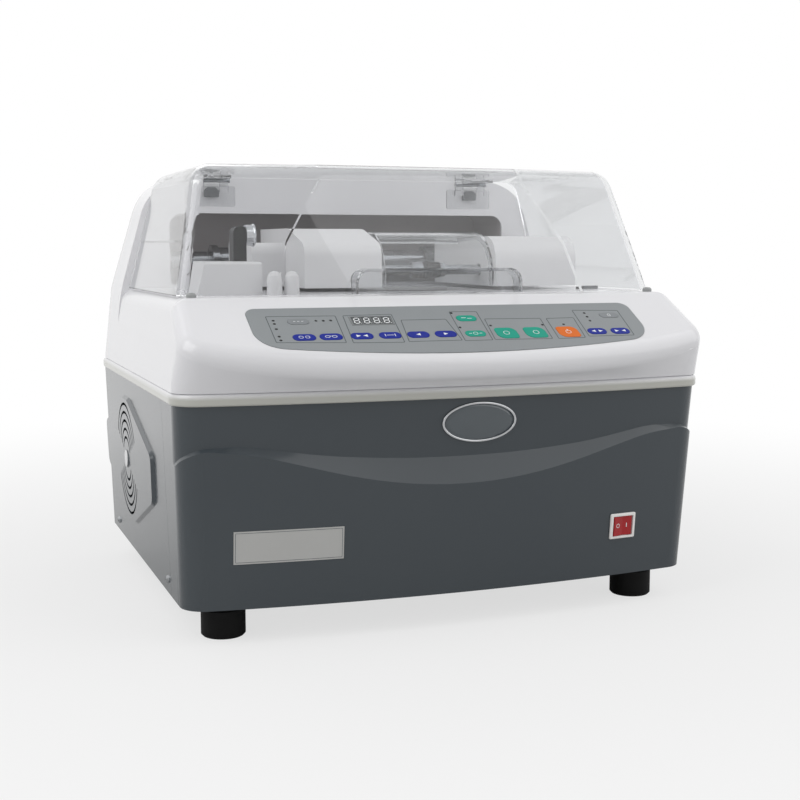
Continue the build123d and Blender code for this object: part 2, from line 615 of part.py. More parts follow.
def hinge_pins():
    pins = []
    for x in (-HINGE_X, HINGE_X):
        pin = rod_x(x - 19.4, x + 20.0, HINGE_D, HINGE_Z, PIN_R)
        pin += rod_x(x + 19.6, x + 21.4, HINGE_D, HINGE_Z, 2.6)
        pins.append(pin)
    return Compound(children=pins)


def hood_bumpers():
    bumpers = []
    for x in (-251.0, 251.0):
        dome = revolve(Plane.XZ * make_face(Polyline((0, 0), (5.0, 0), (5.0, 2.6), (3.6, 4.4), (0, 5.0), close=True)),
                       Axis.Z)
        bumpers.append(Pos(x, F + 67, DECK_Z) * dome)
    return Compound(children=bumpers)


# ---------------------------------------------------------------- grinding head
def head_shell(x0, x1, corners, radii):
    """Moulded housing with the given (depth, height) front and top; open below and behind."""
    t = HEAD_WALL

    def outline(k):
        below, behind = (5, 5) if k else (0, 0)
        front = [(F + d + k, z - k) for d, z in corners]
        foot = [(F + corners[0][0] + k, HEAD_Z0 - below), (F + HEAD_REAR + behind, HEAD_Z0 - below)]
        rear = [(F + HEAD_REAR + behind, corners[-1][1] - k)]
        return rounded(foot + rear + front[::-1], [0, 0, 0] + [max(r - k, 1) for r in radii[::-1]])

    return along_x(outline(0), x0, x1) - along_x(outline(t), x0 + t, x1 - t)


def head_left_housing():
    body = head_shell(-109.0, -22.0, [(HEAD_FRONT, 380.0), (228.0, 398.0)], [16, 60])
    body -= rod_x(-30, -20, LENS_D, LENS_Z, LENS_R + 1.5)
    return body - rod_x(-30, -20, GUARD_PIN_D, GUARD_PIN_Z - 2, 2.0)


def head_right_housing():
    body = head_shell(114.0, 214.0, [(HEAD_FRONT, HEAD_Z1)], [HEAD_R])
    body -= rod_x(110, 120, LENS_D, LENS_Z, LENS_R + 1.5)
    return body - rod_x(110, 120, GUARD_PIN_D, GUARD_PIN_Z - 2, 2.0)


def gear_block():
    """Cover of the drive that turns the lens shaft, behind the left housing's end."""
    return head_shell(-148.0, -109.0, [(240.0, 384.0)], [14])


ARMS = ((-104.0, -88.0), (-70.0, -44.0), (122.0, 152.0))
SLEEVE_R, SLEEVE_X0, SLEEVE_X1 = 15.0, -156.0, 166.0


def carriage_sleeve():
    tube = rod_x(SLEEVE_X0, SLEEVE_X1, SHAFT_D, SHAFT_Z, SLEEVE_R)
    for x0, x1 in ((SLEEVE_X0, SLEEVE_X0 + 8), (SLEEVE_X1 - 8, SLEEVE_X1)):
        tube += rod_x(x0, x1, SHAFT_D, SHAFT_Z, SLEEVE_R + 3)
    return tube - rod_x(SLEEVE_X0 - 1, SLEEVE_X1 + 1, SHAFT_D, SHAFT_Z, SHAFT_R + 0.05)


def head_frame():
    """Cast frame: three arms that ring the sleeve and carry the lens shafts."""
    bar = [(SHAFT_D, SHAFT_Z - 12), (SHAFT_D, SHAFT_Z + 12), (LENS_D, LENS_Z + 10), (LENS_D, LENS_Z - 10)]
    body = None
    for x0, x1 in ARMS:
        arm = side_profile(bar, x0, x1)
        arm += rod_x(x0, x1, SHAFT_D, SHAFT_Z, SLEEVE_R + 7)
        arm += rod_x(x0, x1, LENS_D, LENS_Z, 12.5)
        body = arm if body is None else body + arm
    body += block(-150, 200, HEAD_REAR, 372, 353, 363)
    body -= rod_x(ARMS[0][0] - 5, ARMS[2][1] + 5, SHAFT_D, SHAFT_Z, SLEEVE_R + 0.05)
    return body - rod_x(ARMS[0][0] - 5, ARMS[2][1] + 5, LENS_D, LENS_Z, LENS_R + 0.05)


def splash_guard():
    """Clear arched guard between the housings, hinged along its rear edge."""
    t = 2.5

    def band(r_out, r_in, x0, x1):
        outer = Pos(F + GUARD_D, GUARD_Z) * Circle(r_out) - Pos(F + GUARD_D, GUARD_Z) * Circle(r_in)
        front = Pos(F + GUARD_D - 50, GUARD_Z + 20) * Rectangle(100, 60)
        roof = Pos(F + (GUARD_D + GUARD_PIN_D) / 2, GUARD_Z + (r_out + r_in) / 2)
        flat = roof * Rectangle(GUARD_PIN_D - GUARD_D, r_out - r_in)
        return along_x((outer & front) + flat, x0, x1)

    body = band(GUARD_R, GUARD_R - t, GUARD_X0, GUARD_X1)
    body += band(GUARD_R, GUARD_R - 8, GUARD_X0, GUARD_X0 + t)
    body += band(GUARD_R, GUARD_R - 8, GUARD_X1 - t, GUARD_X1)
    body += rod_x(GUARD_X0, GUARD_X1, GUARD_PIN_D, GUARD_PIN_Z - 2, 4.5)
    for x0, x1 in ((-24.0, GUARD_X0 + 1), (GUARD_X1 - 1, 116.0)):
        body += rod_x(x0, x1, GUARD_PIN_D, GUARD_PIN_Z - 2, 1.9)
    return body


def lens_drive_shaft():
    shaft = rod_x(-104, 34, LENS_D, LENS_Z, LENS_R)
    gear = rod_x(-83, -75, LENS_D, LENS_Z, 14.5)
    teeth = 18
    for n in range(teeth):
        notch = Pos(-79, F + LENS_D, LENS_Z) * Rot(360 / teeth * n, 0, 0) * Pos(0, 0, 14.5) * Box(10, 2.0, 3.6)
        gear -= notch
    cup = rod_x(30, 37, LENS_D, LENS_Z, 9.0)
    pad = rod_x(37, 43, LENS_D, LENS_Z, 10.0)
    return shaft + gear + cup + chamfer(pad.edges().filter_by(GeomType.CIRCLE), 1.0)


def clamp_shaft():
    """Sliding shaft of the clamp side, with a slim spigot that the pad turns on."""
    shaft = rod_x(64, 178, LENS_D, LENS_Z, LENS_R)
    collar = rod_x(64, 70, LENS_D, LENS_Z, 8.0)
    return shaft + collar + rod_x(51, 65, LENS_D, LENS_Z, 3.0)


def clamp_pad():
    """Rubber-faced cup that spins freely on the clamp shaft's spigot."""
    cup = rod_x(53, 63.7, LENS_D, LENS_Z, 9.0)
    pad = chamfer(rod_x(47, 53, LENS_D, LENS_Z, 10.0).edges().filter_by(GeomType.CIRCLE), 1.0)
    return cup + pad - rod_x(50.7, 70, LENS_D, LENS_Z, 3.06)


# ---------------------------------------------------------------- wheels and drive
def splash_basin():
    x0, x1, d0, d1 = WELL[0] - 4, WELL[1] + 4, WELL[2] - 4, WELL[3] + 4
    top = DECK_Z - COVER_WALL
    body = block(x0, x1, d0, d1, 196, top) - block(x0 + 3, x1 - 3, d0 + 3, d1 - 3, 199, top + 5)
    body += block(x0 - 8, x1 + 8, d0 - 8, d1 + 8, top - 3, top) - block(x0 + 1, x1 - 1, d0 + 1, d1 - 1, top - 5, top + 2)
    body += rod_z(172, 197, 46, 240, 12)
    body -= rod_z(170, 200, 46, 240, 9)
    return body - rod_x(x1 - 8, x1 + 4, WHEEL_D, WHEEL_Z, 10.5)


def wheel_spindle():
    body = rod_x(12, BELT_X1 + 8, WHEEL_D, WHEEL_Z, 7.0)
    body += rod_x(66.3, 72, WHEEL_D, WHEEL_Z, 16.0)
    nut = Pos(14, F + WHEEL_D, WHEEL_Z) * Rot(0, 90, 0) * extrude(RegularPolygon(12, 6), 7.8)
    return body + nut


def grinding_wheels():
    """Rough wheel and bevel wheel on the spindle; the bevel wheel has a V groove."""
    rough = make_face(Polyline((22, 7.02), (43.6, 7.02), (43.6, WHEEL_R), (22, WHEEL_R), close=True))
    bevel = make_face(Polyline((44.4, 7.02), (66, 7.02), (66, WHEEL_R), (59, WHEEL_R), (56, WHEEL_R - 3),
                               (53, WHEEL_R), (44.4, WHEEL_R), close=True))
    spacer = rod_x(43.6, 44.4, WHEEL_D, WHEEL_Z, 12) - rod_x(43, 45, WHEEL_D, WHEEL_Z, 7.02)
    wheels = [revolve(Plane.XZ * face, Axis.X) for face in (rough, bevel)]
    return Pos(0, F + WHEEL_D, WHEEL_Z) * (wheels[0] + wheels[1]) + spacer


def pulley(x0, x1, d, z, r, bore):
    """Flanged pulley with a groove as wide as the belt."""
    rim = 3.0
    face = make_face(Polyline((x0, bore), (x1, bore), (x1, r + 4), (x1 - rim, r + 4), (x1 - rim - 1.0, r),
                              (x0 + rim + 1.0, r), (x0 + rim, r + 4), (x0, r + 4), close=True))
    return Pos(0, F + d, z) * revolve(Plane.XZ * face, Axis.X)


def wheel_pulley():
    return pulley(BELT_X0 - 5, BELT_X1 + 5, WHEEL_D, WHEEL_Z, WHEEL_PULLEY_R, 7.02)


def motor_pulley():
    shaft = rod_x(112, BELT_X1 + 4, MOTOR_D, MOTOR_Z, 6.0)
    return shaft + pulley(BELT_X0 - 5, BELT_X1 + 5, MOTOR_D, MOTOR_Z, MOTOR_PULLEY_R, 5.5)


def drive_belt():
    """Flat belt round both pulleys, just clear of their grooves."""
    def loop(extra):
        circles = Pos(F + WHEEL_D, WHEEL_Z) * Circle(WHEEL_PULLEY_R + extra)
        circles += Pos(F + MOTOR_D, MOTOR_Z) * Circle(MOTOR_PULLEY_R + extra)
        return make_hull(circles.edges())
    return along_x(loop(3.4) - loop(0.4), BELT_X0 + 0.5, BELT_X1 - 0.5)


def drive_frame():
    """Upright plate that carries the spindle bearings and the motor's flange."""
    plate = side_profile([(180, 38), (320, 38), (320, 160), (250, 300), (180, 300)], 120, 128)
    plate += block(120, 150, 180, 320, 38, 44)
    plate += rod_x(120, 156, WHEEL_D, WHEEL_Z, 20)
    plate -= rod_x(115, 160, WHEEL_D, WHEEL_Z, 7.06)
    return plate - rod_x(115, 135, MOTOR_D, MOTOR_Z, 14)


def main_motor():
    body = rod_x(-30, 120, MOTOR_D, MOTOR_Z, MOTOR_R)
    for n in range(16):
        fin = Pos(42, F + MOTOR_D, MOTOR_Z) * Rot(22.5 * n, 0, 0) * Pos(0, 0, MOTOR_R) * Box(110, 3, 6)
        body += fin
    body -= rod_x(110, 125, MOTOR_D, MOTOR_Z, 8)
    feet = block(0, 84, MOTOR_D - 45, MOTOR_D + 45, 38, 44) + block(20, 64, MOTOR_D - 20, MOTOR_D + 20, 38, 60)
    return body + feet


def fan_frame():
    half = FAN_SIZE / 2
    outline = Pos(F + FAN_D, FAN_Z) * RectangleRounded(FAN_SIZE, FAN_SIZE, 6)
    body = along_x(outline, FAN_X0, FAN_X1) - rod_x(FAN_X0 - 1, FAN_X1 + 1, FAN_D, FAN_Z, half - 3)
    hub = rod_x(FAN_X1 - 5, FAN_X1, FAN_D, FAN_Z, 20)
    for n in range(4):
        strut = Pos(FAN_X1 - 2.5, F + FAN_D, FAN_Z) * Rot(90 * n + 45, 0, 0) * Pos(0, 0, 38) * Box(5, 6, 42)
        hub += strut
    hub -= rod_x(FAN_X1 - 6, FAN_X1 + 1, FAN_D, FAN_Z, 2.55)
    return leaned(-1, body + hub)


def fan_impeller():
    x0, x1 = FAN_X0 + 3, FAN_X1 - 7
    hub = rod_x(x0, x1, FAN_D, FAN_Z, 20)
    blade = Pos(0, 0, 36) * Rot(0, 0, 38) * Box(32, 2.0, 38)
    for n in range(7):
        hub += Pos((x0 + x1) / 2, F + FAN_D, FAN_Z) * Rot(360 / 7 * n, 0, 0) * blade
    hub &= rod_x(x0, x1, FAN_D, FAN_Z, FAN_SIZE / 2 - 5)
    return leaned(-1, hub + rod_x(x1 - 1, x1 + 6, FAN_D, FAN_Z, 2.5))


def transformer():
    """Laminated core with its winding, bolted to the base."""
    core = block(-190, -100, 100, 160, 38, 108)
    for x0, x1 in ((-172, -152), (-138, -118)):
        core -= block(x0, x1, 90, 170, 58, 92)
    winding = block(-174, -116, 88, 172, 59.5, 90.5)
    winding = fillet(winding.edges().filter_by(Axis.Z), 8)
    return core + winding


# ---------------------------------------------------------------- former rest on the deck
POST_D, KNOB_Z = 180.0, 390.0
REST_Z1 = 363.0


def former_rest():
    """Plinth of the former clamp and the two domed stops beside it."""
    outline = rounded([(-236, DECK_Z), (-169, DECK_Z), (-169, REST_Z1), (-227, REST_Z1)], [0, 0, 0, 0])
    body = along_y(outline, 112, 194)
    body = fillet(body.edges().group_by(Axis.Z)[-1], 3.0)
    profile = make_face(Polyline((0, 0), (7.7, 0), (7.7, 14), (6.8, 19), (4.4, 22.8), (0, 24), close=True))
    for x in (-140.5, -158.5):
        body += Pos(x, F + 104, DECK_Z) * revolve(Plane.XZ * profile, Axis.Z)
    return body


def former_post():
    outline = rounded([(-184.5, REST_Z1), (-170.3, REST_Z1), (-170.3, 399), (-184.5, 399)], [0, 0, 4, 7])
    body = along_y(outline, POST_D - 9, POST_D + 9)
    return body - rod_x(-178.5, -165, POST_D, KNOB_Z, 3.1)


def clamp_knob():
    """Round former clamp: chrome barrel with a dark flange, on a short spindle."""
    barrel = rod_x(-170, -162.5, POST_D, KNOB_Z, 11.0)
    flange = rod_x(-162.6, -160, POST_D, KNOB_Z, 12.2)
    flange = chamfer(flange.edges().filter_by(GeomType.CIRCLE), 0.8)
    return barrel + flange + rod_x(-178, -169, POST_D, KNOB_Z, 3.0)


def guide_shaft():
    return rod_x(-214.9, 214.9, SHAFT_D, SHAFT_Z, SHAFT_R)


NODES = {
    "base_plate": base_plate, "front_panel": front_panel, "left_side_panel": left_side_panel,
    "right_side_panel": right_side_panel, "rear_panel": rear_panel, "rubber_feet": rubber_feet,
    "foot_bolts": foot_bolts, "panel_screws": panel_screws, "top_cover": top_cover, "rear_chamber": rear_chamber,
    "control_membrane": control_membrane, "display_window": display_window, "switch_housing": switch_housing,
    "power_rocker": power_rocker, "power_inlet": power_inlet, "hood": hood,
    "hood_handle": hood_handle, "hinge_plates": hinge_plates, "hinge_leaves": hinge_leaves,
    "hinge_pins": hinge_pins, "hood_bumpers": hood_bumpers, "head_left_housing": head_left_housing,
    "head_right_housing": head_right_housing, "gear_block": gear_block, "carriage_sleeve": carriage_sleeve,
    "head_frame": head_frame, "splash_guard": splash_guard, "lens_drive_shaft": lens_drive_shaft,
    "clamp_shaft": clamp_shaft, "clamp_pad": clamp_pad, "splash_basin": splash_basin, "wheel_spindle": wheel_spindle,
    "grinding_wheels": grinding_wheels, "wheel_pulley": wheel_pulley, "motor_pulley": motor_pulley,
    "drive_belt": drive_belt, "drive_frame": drive_frame, "main_motor": main_motor, "fan_frame": fan_frame,
    "fan_impeller": fan_impeller, "transformer": transformer, "former_rest": former_rest,
    "former_post": former_post, "clamp_knob": clamp_knob, "guide_shaft": guide_shaft,
}

if __name__ == "__main__":
    os.makedirs("parts", exist_ok=True)
    for name, make in NODES.items():
        export_step(make(), f"parts/{name}.step")
    for name, u, v, w, h, shape in KEYS:
        export_step(key(u, v, w, h, shape), f"parts/key_{name}.step")
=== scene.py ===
"""Looks of a bench-top optical lens edger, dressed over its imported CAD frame."""
import logging
from dataclasses import dataclass, field
from enum import Enum
from math import atan, pi, radians
from typing import Any, Iterable, Optional, Sequence

import bmesh
import bpy
from mathutils import Matrix, Vector
from mathutils.bvhtree import BVHTree


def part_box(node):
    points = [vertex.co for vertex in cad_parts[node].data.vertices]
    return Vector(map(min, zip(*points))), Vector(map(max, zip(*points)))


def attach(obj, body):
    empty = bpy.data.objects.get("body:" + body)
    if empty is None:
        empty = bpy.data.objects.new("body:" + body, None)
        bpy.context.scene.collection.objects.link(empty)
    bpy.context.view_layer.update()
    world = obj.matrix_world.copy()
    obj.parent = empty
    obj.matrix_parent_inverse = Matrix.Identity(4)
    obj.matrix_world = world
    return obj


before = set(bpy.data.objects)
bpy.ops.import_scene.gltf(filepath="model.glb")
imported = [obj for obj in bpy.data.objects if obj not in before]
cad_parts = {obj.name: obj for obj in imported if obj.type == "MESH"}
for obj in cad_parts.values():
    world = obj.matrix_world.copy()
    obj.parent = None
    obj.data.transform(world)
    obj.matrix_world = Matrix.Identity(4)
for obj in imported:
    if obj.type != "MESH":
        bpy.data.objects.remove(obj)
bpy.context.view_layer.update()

Mesh = bmesh.types.BMesh
Face = bmesh.types.BMFace
Tree = bpy.types.NodeTree
Socket = bpy.types.NodeSocket
Point = tuple[float, float]
Triple = tuple[float, float, float]
Box = tuple[float, float, float, float]      # middle across and up, width, height
Colour = tuple[float, float, float, float]

LOG = logging.getLogger("lens_edger")
MM = 0.001
FRONT = -0.2249      # Y of the line from which depths are given, in metres
SHELF_Z = 330.0      # height of the cover's shelf, in millimetres
PANEL_SLOPE = 0.56   # rise of the panel bay per unit of depth
PANEL_BACK = 58.0    # depth at which the panel bay meets the shelf, in millimetres
PANEL_DEPTH = 38.9   # depth of the point from which the panel's places are given, in millimetres
OUTSIDE = -1.0       # where rays towards the machine start, in metres


# ------------------------------------------------------------------ small tools
def linear(code: str) -> Colour:
    """Turns an sRGB hex colour into linear RGBA.

    Args:
        code: Six hex digits.

    Returns:
        Linear red, green, blue and an alpha of 1.
    """
    parts = [int(code[i:i + 2], 16) / 255 for i in (0, 2, 4)]
    r, g, b = (p / 12.92 if p <= 0.04045 else ((p + 0.055) / 1.055) ** 2.4 for p in parts)
    return (r, g, b, 1.0)


def at(x: float, depth: float, z: float) -> Vector:
    """Returns the point in metres for millimetres across, behind the front line, and up."""
    return Vector((x * MM, FRONT + depth * MM, z * MM))


def per_mm(size: float) -> float:
    """Returns the pattern scale, in cycles per metre, for a real size in millimetres."""
    return 1.0 / (size * MM)


def add_node(tree: Tree, kind: str, settings: Optional[dict[Any, Any]] = None,
             links: Optional[dict[Any, Socket]] = None) -> bpy.types.Node:
    """Adds one shader node with its settings and links.

    Args:
        tree: The material's node tree.
        kind: Node type.
        settings: Input names or indices, or node attributes, with their values.
        links: Input names or indices with the sockets that feed them.

    Returns:
        The new node.
    """
    node = tree.nodes.new(kind)
    for key, value in (settings or {}).items():
        if isinstance(key, int) or key in node.inputs:
            node.inputs[key].default_value = value
        else:
            setattr(node, key, value)
    for key, socket in (links or {}).items():
        tree.links.new(socket, node.inputs[key])
    return node


# ------------------------------------------------------------------ finishes
MADE: dict[str, bpy.types.Material] = {}     # each finish's material, by the finish's name


@dataclass(frozen=True)
class Finish:
    """A surface finish; each kind builds its own shader, once."""

    name: str

    def shader(self, tree: Tree) -> Socket:
        """Builds the shader in a node tree and returns its output."""
        raise NotImplementedError

    def material(self) -> bpy.types.Material:
        """Makes the finish's material at its first use.

        Returns:
            The material.
        """
        if self.name not in MADE:
            made = bpy.data.materials.new(self.name)
            made.use_nodes = True
            made.node_tree.nodes.clear()
            surface = self.shader(made.node_tree)
            add_node(made.node_tree, "ShaderNodeOutputMaterial", links={"Surface": surface})
            MADE[self.name] = made
        return MADE[self.name]


@dataclass(frozen=True)
class Coated(Finish):
    """Opaque paint, plastic, film or rubber with a cloudy colour and a fine relief."""

    colour: str = "808080"
    shade: str = "707070"
    roughness: float = 0.35
    rough_span: float = 0.08
    coat: float = 0.0
    coat_roughness: float = 0.05
    specular: float = 0.5
    ior: float = 1.5
    cloud_mm: float = 60.0
    cloud: float = 0.35
    grain_mm: float = 1.6
    relief_mm: float = 0.02
    metallic: float = 0.0

    def tint(self, tree: Tree, place: Socket) -> Socket:
        """Builds clouds of two near shades.

        Args:
            tree: The material's node tree.
            place: Object coordinates.

        Returns:
            The colour.
        """
        cloud = add_node(tree, "ShaderNodeTexNoise", {"Scale": per_mm(self.cloud_mm), "Detail": 3.0},
                         {"Vector": place})
        amount = add_node(tree, "ShaderNodeMath", {"operation": "MULTIPLY", 1: self.cloud},
                          {0: cloud.outputs["Fac"]})
        tint = add_node(tree, "ShaderNodeMix",
                        {"data_type": "RGBA", 6: linear(self.colour), 7: linear(self.shade)},
                        {0: amount.outputs[0]})
        return tint.outputs[2]

    def shader(self, tree: Tree) -> Socket:
        """Builds the colour, a grain in the gloss, and a relief.

        Args:
            tree: The material's node tree.

        Returns:
            The shader's output.
        """
        place = add_node(tree, "ShaderNodeTexCoord").outputs["Object"]
        grain = add_node(tree, "ShaderNodeTexNoise", {"Scale": per_mm(self.grain_mm), "Detail": 2.0},
                         {"Vector": place})
        gloss = add_node(tree, "ShaderNodeMapRange",
                         {"To Min": max(0.02, self.roughness - self.rough_span),
                          "To Max": min(1.0, self.roughness + self.rough_span)},
                         {"Value": grain.outputs["Fac"]})
        bump = add_node(tree, "ShaderNodeBump", {"Strength": 0.5, "Distance": self.relief_mm * MM},
                        {"Height": grain.outputs["Fac"]})
        skin = add_node(tree, "ShaderNodeBsdfPrincipled",
                        {"Coat Weight": self.coat, "Coat Roughness": self.coat_roughness, "IOR": self.ior,
                         "Specular IOR Level": self.specular, "Metallic": self.metallic},
                        {"Base Color": self.tint(tree, place), "Roughness": gloss.outputs[0],
                         "Normal": bump.outputs["Normal"]})
        return skin.outputs[0]


@dataclass(frozen=True)
class Skirted(Coated):
    """A moulding whose colour turns to a duller warm grey below a set height, over its lower rim."""

    rim: str = "B5B5AE"
    rim_top: float = 240.5
    blur: float = 2.5

    def tint(self, tree: Tree, place: Socket) -> Socket:
        """Turns the colour to the rim's grey below a set height, blended over a short span.

        Args:
            tree: The material's node tree.
            place: Object coordinates.

        Returns:
            The colour.
        """
        upper = super().tint(tree, place)
        split = add_node(tree, "ShaderNodeSeparateXYZ", links={"Vector": place})
        share = add_node(tree, "ShaderNodeMapRange",
                         {"From Min": (self.rim_top - self.blur) * MM,
                          "From Max": (self.rim_top + self.blur) * MM},
                         {"Value": split.outputs["Z"]})
        banded = add_node(tree, "ShaderNodeMix", {"data_type": "RGBA", 6: linear(self.rim)},
                          {0: share.outputs[0], 7: upper})
        return banded.outputs[2]


@dataclass(frozen=True)
class KeyFilm(Coated):
    """Colour printed on the back of a thin satin film."""

    roughness: float = 0.36
    rough_span: float = 0.05
    specular: float = 0.12
    cloud_mm: float = 12.0
    grain_mm: float = 0.7


@dataclass(frozen=True)
class Ink(Coated):
    """A flat screen-printed ink."""

    roughness: float = 0.5
    rough_span: float = 0.05
    specular: float = 0.1
    cloud_mm: float = 8.0
    grain_mm: float = 0.5


@dataclass(frozen=True)
class Turned(Finish):
    """Bare metal with the tool marks of turning, drawing or brushing."""

    colour: str = "B8BABD"
    shade: str = "8E9196"
    roughness: float = 0.28
    mark_mm: Triple = (0.6, 30.0, 30.0)
    relief_mm: float = 0.01
    swing: float = 0.4

    def shader(self, tree: Tree) -> Socket:
        """Builds fine marks drawn out along two of the axes.

        Args:
            tree: The material's node tree.

        Returns:
            The shader's output.
        """
        place = add_node(tree, "ShaderNodeTexCoord").outputs["Object"]
        drawn = add_node(tree, "ShaderNodeMapping", {"Scale": tuple(per_mm(m) for m in self.mark_mm)},
                         {"Vector": place})
        marks = add_node(tree, "ShaderNodeTexNoise", {"Scale": 1.0, "Detail": 4.0},
                         {"Vector": drawn.outputs[0]})
        tint = add_node(tree, "ShaderNodeMix",
                        {"data_type": "RGBA", 6: linear(self.colour), 7: linear(self.shade)},
                        {0: marks.outputs["Fac"]})
        gloss = add_node(tree, "ShaderNodeMapRange",
                         {"To Min": self.roughness * (1 - self.swing),
                          "To Max": self.roughness * (1 + self.swing)},
                         {"Value": marks.outputs["Fac"]})
        bump = add_node(tree, "ShaderNodeBump", {"Strength": 0.4, "Distance": self.relief_mm * MM},
                        {"Height": marks.outputs["Fac"]})
        metal = add_node(tree, "ShaderNodeBsdfPrincipled", {"Metallic": 1.0},
                         {"Base Color": tint.outputs[2], "Roughness": gloss.outputs[0],
                          "Normal": bump.outputs["Normal"]})
        return metal.outputs[0]


@dataclass(frozen=True)
class ClearSheet(Finish):
    """Clear acrylic, slightly wavy from thermoforming, with faint wiping haze."""

    tint: str = "E9EAEB"
    ior: float = 1.49
    haze: float = 0.012
    wipe_mm: Triple = (90.0, 90.0, 4.0)
    wave_mm: float = 60.0
    relief_mm: float = 0.05

    def shader(self, tree: Tree) -> Socket:
        """Builds clear acrylic that lets lamp light and scattered light through to what is behind it.

        Args:
            tree: The material's node tree.

        Returns:
            The shader's output.
        """
        place = add_node(tree, "ShaderNodeTexCoord").outputs["Object"]
        wave = add_node(tree, "ShaderNodeTexNoise", {"Scale": per_mm(self.wave_mm), "Detail": 1.0},
                        {"Vector": place})
        wiped = add_node(tree, "ShaderNodeMapping", {"Scale": tuple(per_mm(m) for m in self.wipe_mm)},
                         {"Vector": place})
        haze = add_node(tree, "ShaderNodeTexNoise", {"Scale": 1.0, "Detail": 5.0},
                        {"Vector": wiped.outputs[0]})
        gloss = add_node(tree, "ShaderNodeMapRange", {"To Min": 0.0, "To Max": self.haze},
                         {"Value": haze.outputs["Fac"]})
        bump = add_node(tree, "ShaderNodeBump", {"Strength": 0.3, "Distance": self.relief_mm * MM},
                        {"Height": wave.outputs["Fac"]})
        clear = add_node(tree, "ShaderNodeBsdfPrincipled",
                         {"Base Color": linear(self.tint), "Transmission Weight": 1.0, "IOR": self.ior},
                         {"Roughness": gloss.outputs[0], "Normal": bump.outputs["Normal"]})
        through = add_node(tree, "ShaderNodeBsdfTransparent", {"Color": (1, 1, 1, 1)})
        path = add_node(tree, "ShaderNodeLightPath")
        passing = add_node(tree, "ShaderNodeMath", {"operation": "MAXIMUM"},
                           {0: path.outputs["Is Shadow Ray"], 1: path.outputs["Is Diffuse Ray"]})
        mixed = add_node(tree, "ShaderNodeMixShader", {},
                         {0: passing.outputs[0], 1: clear.outputs[0], 2: through.outputs[0]})
        return mixed.outputs[0]


# Stoved enamel: an even slate grey with a slight orange peel and a wet gloss
SLATE_ENAMEL = Coated("slate_enamel", "42484C", "383F45", 0.2, 0.04, 0.25, 0.06, 0.4, cloud_mm=220,
                      cloud=0.8, grain_mm=3.0, relief_mm=0.008)
# Gel-coated cover moulding: bright white, glossy, with a trace of ageing, and a duller warm grey below a
# set height on its lower rim
WHITE_GELCOAT = Skirted("white_gelcoat", "DEDEE1", "D7D6D8", 0.26, 0.015, 0.4, 0.08, cloud_mm=140,
                        grain_mm=6.0, relief_mm=0.004)
# Injection-moulded ABS housings: white, a touch softer than the cover
WHITE_ABS = Coated("white_abs", "DEDEE0", "D3D2D1", 0.38, 0.05, 0.15, 0.2, cloud_mm=50, grain_mm=0.9)
# Sprayed flat paint of the recess: a warm grey without gloss, darker than the head before it
CHAMBER_PAINT = Coated("chamber_paint", "BAB4B6", "ACA6A8", 0.6, 0.06, cloud_mm=40, grain_mm=1.2)
# Back-printed polyester overlay: a satin, finely textured film
GREY_FILM = Coated("grey_polyester_film", "8D9193", "83888B", 0.42, 0.06, 0.0, specular=0.25,
                   cloud_mm=90, grain_mm=0.7, relief_mm=0.01)
# Key fields printed under the same film: full colours with a satin top
BLUE_FILM = KeyFilm("blue_key_film", "1D2C90", "17247A")
GREEN_FILM = KeyFilm("green_key_film", "219A84", "1C8C77")
ORANGE_FILM = KeyFilm("orange_key_film", "D96F2A", "CB621F")
SILVER_FILM = KeyFilm("silver_key_film", "84888B", "797D80", specular=0.2)
# Screen inks: matt, very slightly uneven
LIGHT_INK = Ink("light_ink", "E6E9EA", "DCE0E1")
DARK_INK = Ink("dark_ink", "5A6064", "4E5458")
# Smoked acrylic over an unlit lamp: nearly black, glassy
LAMP_WINDOW = Coated("lamp_window", "121518", "0C0E10", 0.25, 0.04, 0.2, specular=0.3, cloud_mm=3,
                     grain_mm=0.5)
# Smoked acrylic window: a smooth grey, glossier than the film round it
SMOKED_WINDOW = Coated("smoked_window", "75797A", "686C6D", 0.15, 0.03, 0.2, specular=0.3, cloud_mm=20,
                       grain_mm=2.0)
# Moulded faces of the digits: a dark grey behind the light segments
DIGIT_TILE = Coated("digit_tile", "3A3D3F", "313436", 0.3, 0.04, specular=0.3, cloud_mm=6, grain_mm=0.6)
# Moulded switch parts: a white frame and a glossy deep red rocker
BEZEL_ABS = Coated("bezel_abs", "EAE8E6", "DEDAD6", 0.3, 0.05, 0.2, 0.15, cloud_mm=10, grain_mm=0.6)
ROCKER_RED = Coated("rocker_polycarbonate", "A81119", "850B10", 0.2, 0.04, 0.4, 0.05, 0.3, cloud_mm=8,
                    grain_mm=0.6, relief_mm=0.005)
# Badge field: slate enamel under a poured clear dome, dark and wet-looking
BADGE_ENAMEL = Coated("badge_enamel", "4A5257", "40474C", 0.22, 0.04, 0.9, 0.03, cloud_mm=18,
                      grain_mm=0.8, relief_mm=0.004)
# Label: a silver foil, satin and slightly mottled
LABEL_FOIL = Coated("label_foil", "B4B4B2", "A9A9A6", 0.42, 0.06, cloud_mm=22, grain_mm=0.8)
# Soft clear vinyl bumpers that have yellowed to grey
BUMPER_VINYL = Coated("bumper_vinyl", "9A9C9C", "8A8C8C", 0.3, 0.05, 0.1, cloud_mm=4, grain_mm=0.5)
# Moulded ABS of the fan, the inlet and the former's post: black, lightly spark-textured
BLACK_ABS = Coated("black_abs", "1D1E20", "151618", 0.42, 0.08, cloud_mm=15, grain_mm=0.5, relief_mm=0.03)
# Moulded nitrile rubber: a dull black that catches little light
FOOT_RUBBER = Coated("nitrile_feet", "0E0E0E", "090909", 0.6, 0.1, specular=0.2, cloud_mm=9,
                     grain_mm=0.8, relief_mm=0.05)
# Cord-backed belt rubber: matt, with a fabric-like pebble
BELT_RUBBER = Coated("belt_rubber", "1A1A1A", "111111", 0.7, 0.1, cloud_mm=6, grain_mm=0.6, relief_mm=0.06)
